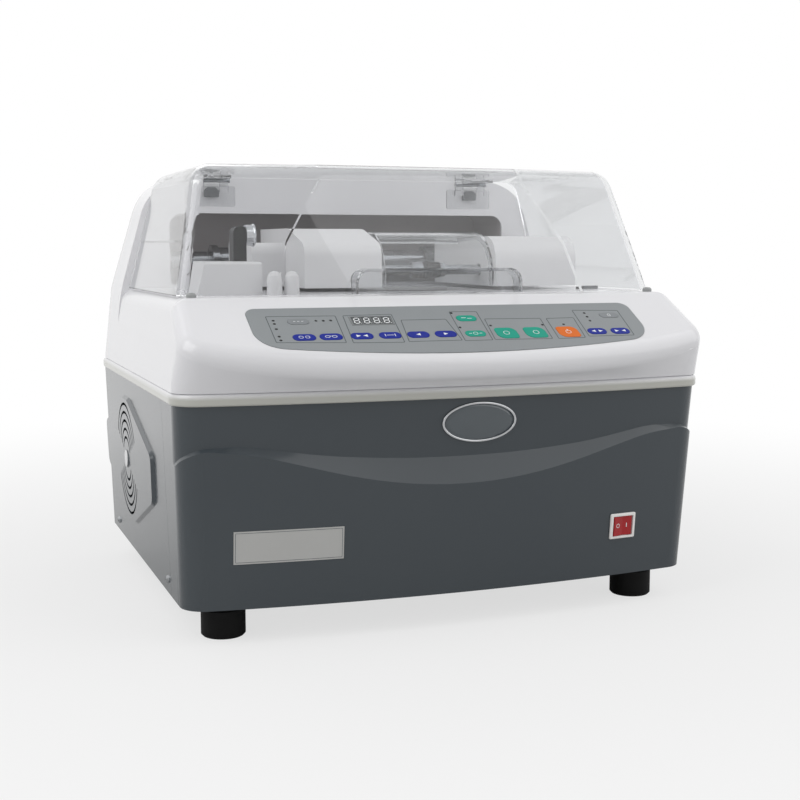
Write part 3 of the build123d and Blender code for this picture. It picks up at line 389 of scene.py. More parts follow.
# Moulded polypropylene: a pale, waxy grey
BASIN_PLASTIC = Coated("basin_polypropylene", "A6A6A4", "969693", 0.45, 0.08, cloud_mm=25, grain_mm=1.0)
# Painted sand casting: a mid grey with a rough, pebbled skin and a dim metal sheen
CASTING = Coated("machine_casting", "6E7174", "5E6164", 0.5, 0.12, cloud_mm=14, grain_mm=0.9,
                 relief_mm=0.06, metallic=0.4)
# Laminated core dipped in varnish: a brown-black, uneven gloss
CORE_VARNISH = Coated("varnished_core", "2E2C2A", "3A3430", 0.5, 0.1, cloud_mm=5, grain_mm=0.5)
# Sintered diamond grit in bronze: a coarse, sparkling tan
DIAMOND_BOND = Coated("diamond_bond", "8A7C63", "5F574A", 0.75, 0.15, cloud_mm=1.2, cloud=1.0,
                      grain_mm=0.35, relief_mm=0.12, metallic=0.3)
# Zinc-plated sheet: a soft grey metal with a cloudy, spangled gloss
ZINC_PLATE = Turned("zinc_plate", "B4B6B8", "94979A", 0.36, (6.0, 6.0, 6.0))
# Ground steel bar: a cool metal with fine marks round the bar
GROUND_STEEL = Turned("ground_steel", "B9BBBE", "8D9094", 0.24, (0.7, 40.0, 40.0))
# Turned aluminium: a paler metal with coarser tool marks
TURNED_ALUMINIUM = Turned("turned_aluminium", "C3C5C8", "A3A6AA", 0.3, (0.8, 40.0, 40.0))
# Polished chrome plate: a bright mirror, barely marked
BRIGHT_CHROME = Turned("bright_chrome", "DADBDD", "C4C6C9", 0.1, (0.9, 30.0, 30.0), 0.004)
# Thermoformed clear acrylic: colourless, with grey edges and soft waves in its reflections
CLEAR_ACRYLIC = ClearSheet("hood_acrylic")


class NodeFinish(Enum):
    """Which finish each CAD node wears."""

    ENAMEL = (SLATE_ENAMEL, ("front_panel", "left_side_panel", "right_side_panel", "rear_panel"))
    GELCOAT = (WHITE_GELCOAT, ("top_cover",))
    ABS = (WHITE_ABS, ("head_left_housing", "head_right_housing", "gear_block", "former_rest"))
    ZINC = (ZINC_PLATE, ("base_plate", "drive_frame", "foot_bolts", "panel_screws"))
    STEEL = (GROUND_STEEL, ("hinge_pins", "guide_shaft", "lens_drive_shaft", "clamp_shaft", "wheel_spindle",
                            "carriage_sleeve"))
    ALUMINIUM = (TURNED_ALUMINIUM, ("wheel_pulley", "motor_pulley"))
    CHROME = (BRIGHT_CHROME, ("clamp_knob",))
    CHAMBER = (CHAMBER_PAINT, ("rear_chamber",))
    CLEAR = (CLEAR_ACRYLIC, ("hood", "hood_handle", "hinge_leaves", "hinge_plates", "splash_guard"))
    BUMPERS = (BUMPER_VINYL, ("hood_bumpers",))
    FILM = (GREY_FILM, ("control_membrane",))
    WINDOW = (SMOKED_WINDOW, ("display_window",))
    BEZEL = (BEZEL_ABS, ("switch_housing",))
    ROCKER = (ROCKER_RED, ("power_rocker",))
    BLACK = (BLACK_ABS, ("power_inlet", "fan_frame", "fan_impeller", "former_post"))
    RUBBER = (FOOT_RUBBER, ("rubber_feet", "clamp_pad"))
    BELT = (BELT_RUBBER, ("drive_belt",))
    BASIN = (BASIN_PLASTIC, ("splash_basin",))
    CAST = (CASTING, ("main_motor", "head_frame"))
    CORE = (CORE_VARNISH, ("transformer",))
    GRIT = (DIAMOND_BOND, ("grinding_wheels",))
    BLUE = (BLUE_FILM, ("key_lens_type", "key_frame_type", "key_pressure", "key_size", "key_step_left",
                        "key_step_right", "key_chuck_open", "key_chuck_close"))
    SILVER = (SILVER_FILM, ("key_mode", "key_coolant"))
    GREEN = (GREEN_FILM, ("key_bevel", "key_polish", "key_left_lens", "key_right_lens"))
    ORANGE = (ORANGE_FILM, ("key_start",))

    @property
    def finish(self) -> Finish:
        """The finish itself."""
        return self.value[0]

    @property
    def nodes(self) -> tuple[str, ...]:
        """The CAD nodes that wear it."""
        return self.value[1]


def dress_nodes() -> None:
    """Gives every CAD node its finish."""
    for entry in NodeFinish:
        for name in entry.nodes:
            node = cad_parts[name]
            if not node.material_slots:
                node.data.materials.append(None)
            for holder in node.material_slots:
                holder.material = entry.finish.material()
            LOG.info("node %s wears %s", name, entry.finish.name)


# ------------------------------------------------------------------ mesh tools
def to_object(name: str, mesh: Mesh, material: bpy.types.Material) -> bpy.types.Object:
    """Makes an object in the scene from a mesh already in place.

    Args:
        name: The object's name.
        mesh: Its mesh, in metres in the row frame, which is freed.
        material: Its material.

    Returns:
        The new object.
    """
    data = bpy.data.meshes.new(name)
    mesh.to_mesh(data)
    mesh.free()
    data.materials.append(material)
    made = bpy.data.objects.new(name, data)
    bpy.context.scene.collection.objects.link(made)
    return made


def piece(name: str, mesh: Mesh, finish: Finish, body: str,
          smooth: bool = False) -> None:
    """Makes a piece and rides it on a body.

    Args:
        name: The piece's name.
        mesh: Its mesh, in metres in the row frame.
        finish: What it is finished in.
        body: The CAD body that carries it.
        smooth: Shades the faces smoothly.
    """
    bmesh.ops.recalc_face_normals(mesh, faces=mesh.faces)
    for face in mesh.faces:
        face.smooth = smooth
    made = to_object(name, mesh, finish.material())
    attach(made, body)
    LOG.info("piece %s: %d faces, on %s", name, len(made.data.polygons), body)


class Surface:
    """Finds where a ray meets a CAD node's skin, to seat things on it."""

    def __init__(self, node: str) -> None:
        """Reads the node's mesh into a search tree.

        Args:
            node: The CAD node's name.
        """
        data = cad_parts[node].data
        self.tree = BVHTree.FromPolygons([v.co.copy() for v in data.vertices],
                                         [tuple(p.vertices) for p in data.polygons])

    def hit(self, start: Triple, way: Triple) -> Vector:
        """Finds the first point of the skin along a ray.

        Args:
            start: Where the ray starts, in metres.
            way: The way it goes.

        Returns:
            The point, in metres.
        """
        found = self.tree.ray_cast(Vector(start), Vector(way))[0]
        if found is None:
            raise ValueError(f"no skin along the ray from {start}")
        return found

    def front(self, x: float, z: float) -> float:
        """Returns the Y of the skin seen from the front at x and z, in metres."""
        return self.hit((x, OUTSIDE, z), (0, 1, 0)).y

    def side(self, y: float, z: float) -> float:
        """Returns the X of the skin seen from the left at y and z, in metres."""
        return self.hit((OUTSIDE, y, z), (1, 0, 0)).x

    def seat(self, mesh: Mesh) -> Mesh:
        """Stands a mesh drawn flat up against the skin, which it follows.

        Args:
            mesh: A mesh drawn in XY with its height in Z.

        Returns:
            The same mesh.
        """
        bmesh.ops.rotate(mesh, verts=mesh.verts, cent=(0, 0, 0), matrix=Matrix.Rotation(pi / 2, 3, "X"))
        for vertex in mesh.verts:
            vertex.co.y += self.front(vertex.co.x, vertex.co.z)
        return mesh


def outline_face(mesh: Mesh, points: Iterable[Point], corner: float = 0.0) -> Face:
    """Adds a flat face in XY through some points; sizes in millimetres.

    Args:
        mesh: The mesh to add to.
        points: The corners, in order.
        corner: The radius that rounds them.

    Returns:
        The new face.
    """
    verts = [mesh.verts.new((x * MM, y * MM, 0.0)) for x, y in points]
    face = mesh.faces.new(verts)
    if corner:
        bmesh.ops.bevel(mesh, geom=verts, offset=corner * MM, segments=4, profile=0.5, affect="VERTICES",
                        material=-1)
        mesh.faces.ensure_lookup_table()
        face = mesh.faces[-1]
    face.normal_update()
    if face.normal.z < 0:
        face.normal_flip()
    return face


def disc_face(mesh: Mesh, middle: Point, radii: Point, segments: int) -> Face:
    """Adds a flat round or oval face in XY; sizes in millimetres.

    Args:
        mesh: The mesh to add to.
        middle: Its middle.
        radii: Its radii across and up.
        segments: The number of its edges.

    Returns:
        The new face.
    """
    rim = bmesh.ops.create_circle(mesh, cap_ends=True, segments=segments, radius=1.0)["verts"]
    bmesh.ops.scale(mesh, verts=rim, vec=(radii[0] * MM, radii[1] * MM, 1.0))
    bmesh.ops.translate(mesh, verts=rim, vec=(middle[0] * MM, middle[1] * MM, 0.0))
    return rim[0].link_faces[0]


def raise_faces(mesh: Mesh, faces: Sequence[Face], height: float) -> None:
    """Turns flat faces into slabs.

    Args:
        mesh: The mesh that holds them.
        faces: Flat faces in XY.
        height: The slabs' height, in millimetres.
    """
    grown = bmesh.ops.extrude_face_region(mesh, geom=list(faces), use_keep_orig=True)
    lifted = [g for g in grown["geom"] if isinstance(g, bmesh.types.BMVert)]
    bmesh.ops.translate(mesh, verts=lifted, vec=(0, 0, height * MM))


def raise_line(mesh: Mesh, face: Face, width: float, height: float) -> None:
    """Turns a flat face into a raised line round its edge; sizes in millimetres.

    Args:
        mesh: The mesh that holds it.
        face: The flat face, whose middle goes.
        width: The line's width, measured inwards.
        height: Its height.
    """
    ring = bmesh.ops.inset_region(mesh, faces=[face], thickness=width * MM, use_boundary=True,
                                  use_even_offset=True)["faces"]
    bmesh.ops.delete(mesh, geom=[face], context="FACES_ONLY")
    raise_faces(mesh, ring, height)


def add_slab(mesh: Mesh, points: Iterable[Point], height: float, corner: float = 0.0) -> None:
    """Adds a flat-topped slab through some points, with rounded corners; in millimetres."""
    raise_faces(mesh, [outline_face(mesh, points, corner)], height)


def add_line(mesh: Mesh, points: Iterable[Point], width: float, height: float, corner: float = 0.0) -> None:
    """Adds a closed raised line through some points, with rounded corners; in millimetres."""
    raise_line(mesh, outline_face(mesh, points, corner), width, height)


def round_crest(mesh: Mesh, offset: float, segments: int = 3) -> None:
    """Rounds the upper rims of what stands highest in a mesh.

    Args:
        mesh: The mesh.
        offset: The bevel's width, in millimetres.
        segments: Its segments.
    """
    top = max(v.co.z for v in mesh.verts)
    crests = [e for e in mesh.edges if all(v.co.z > top - 1e-6 for v in e.verts)
              and e.calc_face_angle(0.0) > 1.0]
    bmesh.ops.bevel(mesh, geom=crests, offset=offset * MM, segments=segments, profile=0.5,
                    affect="EDGES", material=-1)


def box_points(x: float, y: float, w: float, h: float) -> list[Point]:
    """Returns the corners of a rectangle about a middle."""
    return [(x - w / 2, y - h / 2), (x + w / 2, y - h / 2), (x + w / 2, y + h / 2), (x - w / 2, y + h / 2)]


# ------------------------------------------------------------------ key marks
ARROW = ((2.4, 0.0), (-2.0, 2.0), (-2.0, -2.0))


@dataclass(frozen=True)
class Mark:
    """A key's printed symbol; across and up the slope, in millimetres."""

    middle: Point
    rings: tuple[Box, ...] = ()
    bars: tuple[Box, ...] = ()
    arrows: tuple[Point, ...] = ()      # way, -1 left or 1 right, and place across
    height: float = 0.05
    line_w: float = 0.5
    roundness: float = 0.45

    def draw(self, mesh: Mesh) -> None:
        """Draws the symbol flat, about its own middle.

        Args:
            mesh: The mesh to add to.
        """
        for x, y, w, h in self.rings:
            add_line(mesh, box_points(x, y, w, h), self.line_w, self.height, min(w, h) * self.roundness)
        for bar in self.bars:
            add_slab(mesh, box_points(*bar), self.height)
        for way, x in self.arrows:
            add_slab(mesh, [(x + way * u, v) for u, v in ARROW], self.height)


KEY_MARKS: dict[str, Mark] = {
    "mode": Mark((-158.8, -24.5), bars=((-4, 0, 2, 0.6), (0, 0, 2, 0.6), (4, 0, 2, 0.6))),
    "lens_type": Mark((-159.8, -52.0), rings=((-3.2, 0, 4.6, 4.2), (3.2, 0, 4.6, 4.2))),
    "frame_type": Mark((-133.5, -52.0), rings=((-3.4, 0, 5, 3.6), (3.4, 0, 5, 3.6)),
                       bars=((0, 0.8, 2.2, 0.6),)),
    "pressure": Mark((-102.7, -52.0), arrows=((1, -3.6), (-1, 3.6))),
    "size": Mark((-74.2, -52.0), bars=((-5, 0, 0.7, 4), (5, 0, 0.7, 4), (0, 0, 7.2, 0.6))),
    "step_left": Mark((-45.2, -52.0), arrows=((-1, 0),)),
    "step_right": Mark((-16.6, -52.0), arrows=((1, 0),)),
    "bevel": Mark((15.2, -24.6), bars=((-3, 0.5, 5, 0.7), (3, -0.7, 5, 0.7))),
    "polish": Mark((14.8, -52.6), rings=((0, 0, 5, 4.6),), bars=((-5.4, 0, 3, 0.6), (5.4, 0, 3, 0.6))),
    "left_lens": Mark((48.4, -53.0), rings=((-0.5, 0, 6.4, 6.4),)),
    "right_lens": Mark((79.8, -53.2), rings=((0.5, 0, 6.4, 6.4),)),
    "start": Mark((116.2, -53.6), rings=((0, -0.3, 6, 6),), bars=((0, 2.6, 0.8, 3.4),)),
    "coolant": Mark((176.3, -24.2), rings=((0, 0, 3.4, 4.4),)),
    "chuck_open": Mark((148.9, -53.8), arrows=((-1, -4), (1, 4))),
    "chuck_close": Mark((175.3, -54.3), arrows=((1, -4), (-1, 4)))}


# ------------------------------------------------------------------ control panel
PANEL_Z = SHELF_Z - PANEL_SLOPE * (PANEL_BACK - PANEL_DEPTH)
PANEL = Matrix.Translation(at(0, PANEL_DEPTH, PANEL_Z)) @ Matrix.Rotation(atan(PANEL_SLOPE), 4, "X")


def on_panel(mesh: Mesh, base: float, middle: Point = (0.0, 0.0)) -> Mesh:
    """Moves a mesh drawn flat onto the sloping panel; sizes in millimetres.

    Args:
        mesh: The mesh, drawn in XY.
        base: How high it stands above the panel's plane.
        middle: Where its middle goes, across and up the slope.

    Returns:
        The same mesh, in the row frame.
    """
    bmesh.ops.translate(mesh, verts=mesh.verts, vec=(middle[0] * MM, middle[1] * MM, base * MM))
    bmesh.ops.transform(mesh, matrix=PANEL, verts=mesh.verts)
    return mesh


@dataclass
class DisplayDigits:
    """Seven-segment digits under the display window; across and up the slope, in millimetres."""

    middle: Point = (-85.0, -25.3)
    count: int = 4
    pitch: float = 10.2
    tile: Point = (9.2, 13.0)
    tile_corner: float = 0.3
    tile_h: float = 0.03
    base: float = 0.8
    stroke_h: float = 0.05
    arm: float = 2.5
    half: float = 4.6
    thick: float = 0.62
    bar_gap: float = 0.4
    post_gap: float = 0.3
    tip: float = 0.6
    slant: float = 0.09
    stop_r: float = 0.5
    stop_gap: float = 1.45

    def build(self) -> None:
        """Makes the dark tiles and the light strokes on them."""
        tiles, strokes = bmesh.new(), bmesh.new()
        u, v = self.middle
        for i in range(self.count):
            across = u + (i - (self.count - 1) / 2) * self.pitch
            add_slab(tiles, box_points(across, v, *self.tile), self.tile_h, self.tile_corner)
            for stroke in self.strokes():
                add_slab(strokes, [(across + x + self.slant * y, v + y) for x, y in stroke], self.stroke_h)
            stop = (across + self.arm + self.stop_gap - self.slant * self.half, v - self.half)
            raise_faces(strokes, [disc_face(strokes, stop, (self.stop_r, self.stop_r), segments=10)],
                        self.stroke_h)
        piece("digit_tiles", on_panel(tiles, self.base), DIGIT_TILE, "cabinet")
        piece("digit_segments", on_panel(strokes, self.base + self.tile_h), LIGHT_INK, "cabinet")

    def strokes(self) -> list[list[Point]]:
        """Works out the seven strokes of an upright digit, with pointed ends.

        Returns:
            Each stroke's corners, about the digit's middle.
        """
        arm, half, thick, tip = self.arm, self.half, self.thick, self.tip
        reach = arm - self.bar_gap
        found: list[list[Point]] = []
        for y in (-half, 0.0, half):
            found.append([(-reach, y), (tip - reach, y + thick), (reach - tip, y + thick), (reach, y),
                          (reach - tip, y - thick), (tip - reach, y - thick)])
        for x in (-arm, arm):
            for end in (-half, 0.0):
                low, high = end + self.post_gap, end + half - self.post_gap
                found.append([(x, low), (x + thick, low + tip), (x + thick, high - tip), (x, high),
                              (x - thick, high - tip), (x - thick, low + tip)])
        return found


@dataclass
class ControlPanel:
    """Print, lamps and digits of the sloping panel; across and up the slope, in millimetres."""

    film_top: float = 0.5
    key_top: float = 0.9
    line_w: float = 0.8
    line_h: float = 0.05
    line_corner: float = 1.5
    groups: tuple[tuple[Point, ...], ...] = (
        ((-189, -14), (-119, -15), (-121, -63), (-189, -60)),
        ((-112, -15), (-61, -14), (-63, -65), (-115, -63.5)),
        ((-55, -25), (-7, -25), (-3, -64), (-59, -64)),
        ((0.7, -11.4), (31, -12), (29, -65), (-1, -65)),
        ((34, -26), (96, -27), (94, -65.5), (31, -64.5)),
        ((102, -27.5), (134, -27), (131, -65), (100, -66)),
        ((138, -13), (191, -15), (188, -63), (135.5, -63)))
    lamps: tuple[Point, ...] = (
        (-182.7, -21.9), (-182.9, -27.6), (-183.2, -36.7), (-183.6, -49.5), (-183.5, -56), (-140.9, -23.5),
        (-133.7, -23.7), (-126.1, -23.5), (2.5, -14.3), (2.4, -41), (36.2, -38.8), (93.2, -39.6),
        (117, -39.7), (150, -19.2), (150.1, -26.4), (149.9, -34))
    lamp_r: float = 1.5
    lamp_h: float = 0.12
    digits: DisplayDigits = field(default_factory=DisplayDigits)

    def build(self) -> None:
        """Makes the print, the lamp windows, the digits and the key marks."""
        self.group_lines()
        self.lamp_windows()
        self.digits.build()
        self.key_marks()

    def group_lines(self) -> None:
        """Makes the fine lines printed round the groups of keys."""
        mesh = bmesh.new()
        for group in self.groups:
            add_line(mesh, group, self.line_w, self.line_h, self.line_corner)
        piece("panel_group_lines", on_panel(mesh, self.film_top), DARK_INK, "cabinet")

    def lamp_windows(self) -> None:
        """Makes the small dark windows of the indicator lamps."""
        mesh = bmesh.new()
        for middle in self.lamps:
            window = disc_face(mesh, middle, (self.lamp_r, self.lamp_r), segments=20)
            raise_faces(mesh, [window], self.lamp_h)
        piece("indicator_windows", on_panel(mesh, self.film_top), LAMP_WINDOW, "cabinet")

    def key_marks(self) -> None:
        """Makes a plain symbol on each key, which moves with it."""
        for name, mark in KEY_MARKS.items():
            mesh = bmesh.new()
            mark.draw(mesh)
            piece(f"mark_{name}", on_panel(mesh, self.key_top, mark.middle), LIGHT_INK, f"key_{name}")


# ------------------------------------------------------------------ badge, plate and switch marks
@dataclass
class Badge:
    """A blank oval badge with a domed field in a bright rim; across and up, in millimetres."""

    middle: Point = (18.0, 207.0)
    radii: Point = (40.0, 20.5)
    segments: int = 96
    rim_w: float = 2.6
    rim_h: float = 2.2
    rim_round: float = 1.17
    lap: float = 0.2
    field_h: float = 0.9
    dome_steps: int = 5
    dome_shrink: float = 0.84
    dome_rise: float = 0.36
    dome_ease: float = 0.07

    def build(self, skin: Surface) -> None:
        """Makes the rim and the field.

        Args:
            skin: What they are seated on.
        """
        rim = bmesh.new()
        raise_line(rim, disc_face(rim, self.middle, self.radii, self.segments), self.rim_w, self.rim_h)
        round_crest(rim, self.rim_round, 4)
        piece("badge_rim", skin.seat(rim), BRIGHT_CHROME, "cabinet", True)
        piece("badge_field", skin.seat(self.dome()), BADGE_ENAMEL, "cabinet", True)

    def dome(self) -> Mesh:
        """Steps the field's face inwards and up into a low dome.

        Returns:
            The field's mesh, drawn flat.
        """
        short = self.rim_w - self.lap
        mesh = bmesh.new()
        raise_faces(mesh, [disc_face(mesh, self.middle, (self.radii[0] - short, self.radii[1] - short),
                                     self.segments)], self.field_h)
        top = max(mesh.faces, key=lambda face: face.calc_center_median().z)
        origin = Matrix.Translation((-self.middle[0] * MM, -self.middle[1] * MM, 0.0))
        for step in range(self.dome_steps):
            top = bmesh.ops.extrude_discrete_faces(mesh, faces=[top])["faces"][0]
            bmesh.ops.scale(mesh, verts=top.verts, vec=(self.dome_shrink, self.dome_shrink, 1.0),
                            space=origin)
            bmesh.ops.translate(mesh, verts=top.verts,
                                vec=(0, 0, (self.dome_rise - self.dome_ease * step) * MM))
        return mesh


@dataclass
class DataPlate:
    """A thin bare label with a fine border line; across and up, in millimetres."""

    plate: Box = (-175.0, 96.0, 106.0, 32.0)
    plate_h: float = 0.45
    cells: tuple[int, int] = (30, 10)
    margin: float = 1.5
    line_w: float = 0.4
    line_h: float = 0.55
    corner: float = 0.8
    long_edge: float = 10.0
    cuts: int = 14

    def build(self, skin: Surface) -> None:
        """Makes the label and its line, cut finely enough to follow the bowed panel.

        Args:
            skin: What they are seated on.
        """
        x, z, w, h = self.plate
        label, line = bmesh.new(), bmesh.new()
        bmesh.ops.create_grid(label, x_segments=self.cells[0], y_segments=self.cells[1], size=0.5)
        bmesh.ops.scale(label, verts=label.verts, vec=(w * MM, h * MM, 1.0))
        bmesh.ops.translate(label, verts=label.verts, vec=(x * MM, z * MM, 0.0))
        raise_faces(label, list(label.faces), self.plate_h)
        add_line(line, box_points(x, z, w - 2 * self.margin, h - 2 * self.margin), self.line_w, self.line_h,
                 self.corner)
        long = [e for e in line.edges if e.calc_length() > self.long_edge * MM]
        bmesh.ops.subdivide_edges(line, edges=long, cuts=self.cuts, use_grid_fill=True)
        piece("data_plate", skin.seat(label), LABEL_FOIL, "cabinet")
        piece("data_plate_line", skin.seat(line), DARK_INK, "cabinet")


@dataclass
class SwitchMarks:
    """The plain ring and bar on the rocker, which tip with it; in millimetres."""

    apart: float = 5.6
    ring_r: float = 2.3
    ring_w: float = 0.6
    bar: Point = (0.8, 4.6)
    height: float = 0.08

    def build(self) -> None:
        """Makes the marks on the rocker's two halves."""
        low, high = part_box("power_rocker")
        x, z = (low[0] + high[0]) / 2 / MM, (low[2] + high[2]) / 2 / MM
        marks = bmesh.new()
        ring = disc_face(marks, (x - self.apart, z), (self.ring_r, self.ring_r), segments=24)
        raise_line(marks, ring, self.ring_w, self.height)
        add_slab(marks, box_points(x + self.apart, z, *self.bar), self.height)
        piece("rocker_marks", Surface("power_rocker").seat(marks), LIGHT_INK, "rocker")


@dataclass
class FrontFittings:
    """What is stuck on the front panel, and the switch's marks."""

    badge: Badge = field(default_factory=Badge)
    plate: DataPlate = field(default_factory=DataPlate)
    marks: SwitchMarks = field(default_factory=SwitchMarks)

    def build(self) -> None:
        """Makes them and seats them on the front panel and the rocker."""
        skin = Surface("front_panel")
        self.badge.build(skin)
        self.plate.build(skin)
        self.marks.build()


# ------------------------------------------------------------------ small fittings of the cover
@dataclass
class CoverFittings:
    """The grille's hub cap, the hood's interlock and its hinges' blocks; in millimetres."""

    hub_at: Point = (71.1, 140.9)
    hub_r: float = 9.5
    hub_h: float = 1.0
    hub_round: float = 0.5
    hub_sunk: float = 0.3
    strip: Box = (231.5, 162.5, 19.0, 6.0)
    strip_h: float = 3.4
    plunger: Box = (218.5, 164.0, 5.0, 6.5)
    plunger_h: float = 2.6
    interlock_corner: float = 1.2
    interlock_round: float = 0.4
    block_at: Point = (165.0, 442.0)
    block: tuple[Point, ...] = ((-8.7, -6.0), (8.7, -6.0), (8.7, 1.5), (4.5, 5.5), (-4.5, 5.5), (-8.7, 1.5))
    block_h: float = 4.5
    block_corner: float = 0.8
    block_round: float = 0.6

    def build(self) -> None:
        """Makes the cap, the interlock and the hinges' blocks."""
        self.hub_cap()
        self.interlock("interlock_strip", self.strip, self.strip_h, CASTING)
        self.interlock("interlock_plunger", self.plunger, self.plunger_h, BLACK_ABS)
        self.hinge_blocks()

    def hub_cap(self) -> None:
        """Makes a white cap pressed on the middle of the side grille's dome."""
        y, z = self.hub_at[0] * MM, self.hub_at[1] * MM
        wall = Surface("left_side_panel").side(y, z)
        mesh = bmesh.new()
        raise_faces(mesh, [disc_face(mesh, (0, 0), (self.hub_r, self.hub_r), segments=48)], self.hub_h)
        round_crest(mesh, self.hub_round)
        bmesh.ops.rotate(mesh, verts=mesh.verts, cent=(0, 0, 0), matrix=Matrix.Rotation(-pi / 2, 3, "Y"))
        bmesh.ops.translate(mesh, verts=mesh.verts, vec=(wall + self.hub_sunk * MM, y, z))
        piece("vent_hub_cap", mesh, WHITE_ABS, "cabinet", True)

    def interlock(self, name: str, plan: Box, height: float, finish: Finish) -> None:
        """Makes one part of the interlock on the cover's shelf, which the hood presses.

        Args:
            name: The piece's name.
            plan: Its middle across and behind the front line, its width and its depth.
            height: Its height.
            finish: What it is finished in.
        """
        mesh = bmesh.new()
        add_slab(mesh, box_points(*plan), height, self.interlock_corner)
        round_crest(mesh, self.interlock_round)
        bmesh.ops.translate(mesh, verts=mesh.verts, vec=(0, FRONT, SHELF_Z * MM))
        piece(name, mesh, finish, "cabinet")

    def hinge_blocks(self) -> None:
        """Makes small cast blocks that clamp the clear hinge plates between their knuckles."""
        blocks = bmesh.new()
        across, up = self.block_at
        for side in (-1, 1):
            add_slab(blocks, [(side * across + x, up + z) for x, z in self.block], self.block_h,
                     self.block_corner)
        round_crest(blocks, self.block_round)
        piece("hinge_clamp_blocks", Surface("hinge_plates").seat(blocks), CASTING, "cabinet")


# ------------------------------------------------------------------ studio
@dataclass(frozen=True)
class Lamp:
    """A soft square lamp; metres and watts."""

    name: str
    place: Triple
    size: float
    power: float
    aim: Triple = (0.0, 0.0, 0.22)

    def build(self) -> None:
        """Adds the lamp, aimed at the machine."""
        data = bpy.data.lights.new(self.name, "AREA")
        data.shape, data.size, data.energy = "SQUARE", self.size, self.power
        made = bpy.data.objects.new(self.name, data)
        made.location = self.place
        made.rotation_euler = (Vector(self.aim) - Vector(self.place)).to_track_quat("-Z", "Y").to_euler()
        bpy.context.scene.collection.objects.link(made)


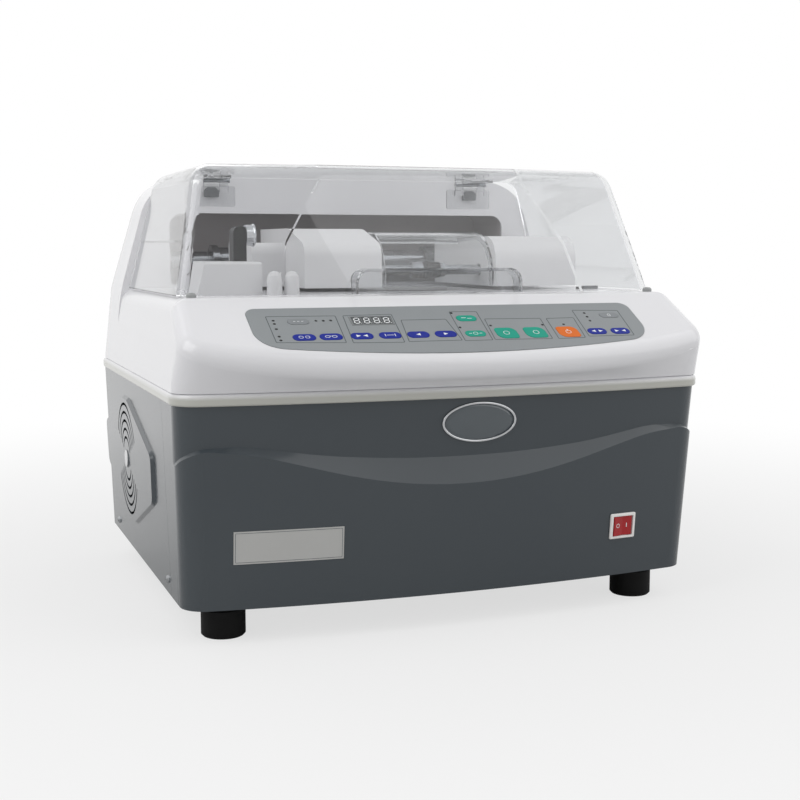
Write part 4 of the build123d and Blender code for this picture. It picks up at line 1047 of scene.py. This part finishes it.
@dataclass
class Studio:
    """Floor, world, lamps and camera; metres and degrees."""

    eye: Triple = (-0.509, -1.4249, 0.380)
    turn: float = -20.44
    tilt: float = 6.65
    lens: float = 59.68
    sensor: float = 36.0
    ambient: float = 0.62
    floor_half: float = 12.0
    paper: str = "D2D2D2"
    fade: Point = (0.35, 1.6)              # distances between which the floor turns white
    near_share: float = 0.68               # how white it shows nearer than that
    floor_behind: Point = (-0.2, 1.2)      # Y between which the floor turns white in mirrors
    sky_behind: Point = (-0.5, 0.5)        # the same for the Y of a way into the world
    lamps: tuple[Lamp, ...] = (
        Lamp("key_lamp", (-2.2, -0.5, 2.0), 2.2, 29.0),
        Lamp("fill_lamp", (1.5, -1.1, 1.5), 2.6, 18.0),
        Lamp("rear_lamp", (-0.6, 1.7, 1.7), 1.6, 5.0))

    def build(self) -> None:
        """Makes the studio."""
        self.floor()
        self.world()
        for lamp in self.lamps:
            lamp.build()
        self.camera()
        bpy.context.scene.view_settings.view_transform = "Standard"

    def shown(self, tree: Tree, back: Socket) -> Socket:
        """Builds the share of the white backdrop that a ray gets.

        Args:
            tree: The material's or the world's node tree.
            back: How far the place lies behind the machine, 0 to 1, which mirrored rays follow.

        Returns:
            1 for rays from the eye or through clear sheet, less for mirrored ones, 0 for scattered ones.
        """
        path = add_node(tree, "ShaderNodeLightPath")
        clear = add_node(tree, "ShaderNodeMath", {"operation": "LESS_THAN", 1: 0.5},
                         {0: path.outputs["Diffuse Depth"]})
        mirrored = add_node(tree, "ShaderNodeMath", {"operation": "MULTIPLY"},
                            {0: path.outputs["Is Glossy Ray"], 1: back})
        seen = add_node(tree, "ShaderNodeMath", {"operation": "MAXIMUM"},
                        {0: mirrored.outputs[0], 1: path.outputs["Is Transmission Ray"]})
        direct = add_node(tree, "ShaderNodeMath", {"operation": "MULTIPLY"},
                          {0: seen.outputs[0], 1: clear.outputs[0]})
        share = add_node(tree, "ShaderNodeMath", {"operation": "MAXIMUM"},
                         {0: direct.outputs[0], 1: path.outputs["Is Camera Ray"]})
        return share.outputs[0]

    def floor(self) -> None:
        """Makes a pale floor that keeps the shadow and fades into the white behind."""
        paper = bpy.data.materials.new("floor_paper")
        paper.use_nodes = True
        tree = paper.node_tree
        tree.nodes.clear()
        place = add_node(tree, "ShaderNodeTexCoord").outputs["Object"]
        split = add_node(tree, "ShaderNodeSeparateXYZ", links={"Vector": place})
        back = add_node(tree, "ShaderNodeMapRange",
                        {"From Min": self.floor_behind[0], "From Max": self.floor_behind[1]},
                        {"Value": split.outputs["Y"]})
        away = add_node(tree, "ShaderNodeVectorMath", {"operation": "LENGTH"}, {0: place})
        fade = add_node(tree, "ShaderNodeMapRange",
                        {"interpolation_type": "SMOOTHSTEP", "From Min": self.fade[0],
                         "From Max": self.fade[1], "To Min": self.near_share, "To Max": 1.0},
                        {"Value": away.outputs["Value"]})
        share = add_node(tree, "ShaderNodeMath", {"operation": "MULTIPLY"},
                         {0: fade.outputs[0], 1: self.shown(tree, back.outputs[0])})
        paint = add_node(tree, "ShaderNodeBsdfDiffuse", {"Color": linear(self.paper)})
        white = add_node(tree, "ShaderNodeEmission", {"Strength": 1.0})
        mixed = add_node(tree, "ShaderNodeMixShader", {},
                         {0: share.outputs[0], 1: paint.outputs[0], 2: white.outputs[0]})
        add_node(tree, "ShaderNodeOutputMaterial", links={"Surface": mixed.outputs[0]})
        mesh = bmesh.new()
        bmesh.ops.create_grid(mesh, x_segments=1, y_segments=1, size=self.floor_half)
        to_object("studio_floor", mesh, paper)

    def world(self) -> None:
        """Makes a plain soft light that the eye sees as white, and a mirror only behind the machine."""
        world = bpy.data.worlds.new("studio_world")
        world.use_nodes = True
        tree = world.node_tree
        tree.nodes.clear()
        place = add_node(tree, "ShaderNodeTexCoord").outputs["Generated"]
        split = add_node(tree, "ShaderNodeSeparateXYZ", links={"Vector": place})
        back = add_node(tree, "ShaderNodeMapRange",
                        {"From Min": self.sky_behind[0], "From Max": self.sky_behind[1]},
                        {"Value": split.outputs["Y"]})
        level = add_node(tree, "ShaderNodeMapRange", {"To Min": self.ambient, "To Max": 1.0},
                         {"Value": self.shown(tree, back.outputs[0])})
        light = add_node(tree, "ShaderNodeBackground", {"Color": (1, 1, 1, 1)},
                         {"Strength": level.outputs[0]})
        add_node(tree, "ShaderNodeOutputWorld", links={"Surface": light.outputs[0]})
        bpy.context.scene.world = world

    def camera(self) -> None:
        """Adds the camera."""
        data = bpy.data.cameras.new("camera")
        data.lens, data.sensor_width, data.sensor_fit = self.lens, self.sensor, "HORIZONTAL"
        made = bpy.data.objects.new("camera", data)
        made.location = self.eye
        made.rotation_euler = (radians(90 - self.tilt), 0, radians(self.turn))
        bpy.context.scene.collection.objects.link(made)
        bpy.context.scene.camera = made


def main() -> None:
    """Builds every sub-assembly in order."""
    logging.basicConfig(level=logging.INFO, format="%(message)s")
    Studio().build()
    dress_nodes()
    ControlPanel().build()
    FrontFittings().build()
    CoverFittings().build()


if __name__ == "__main__":
    main()
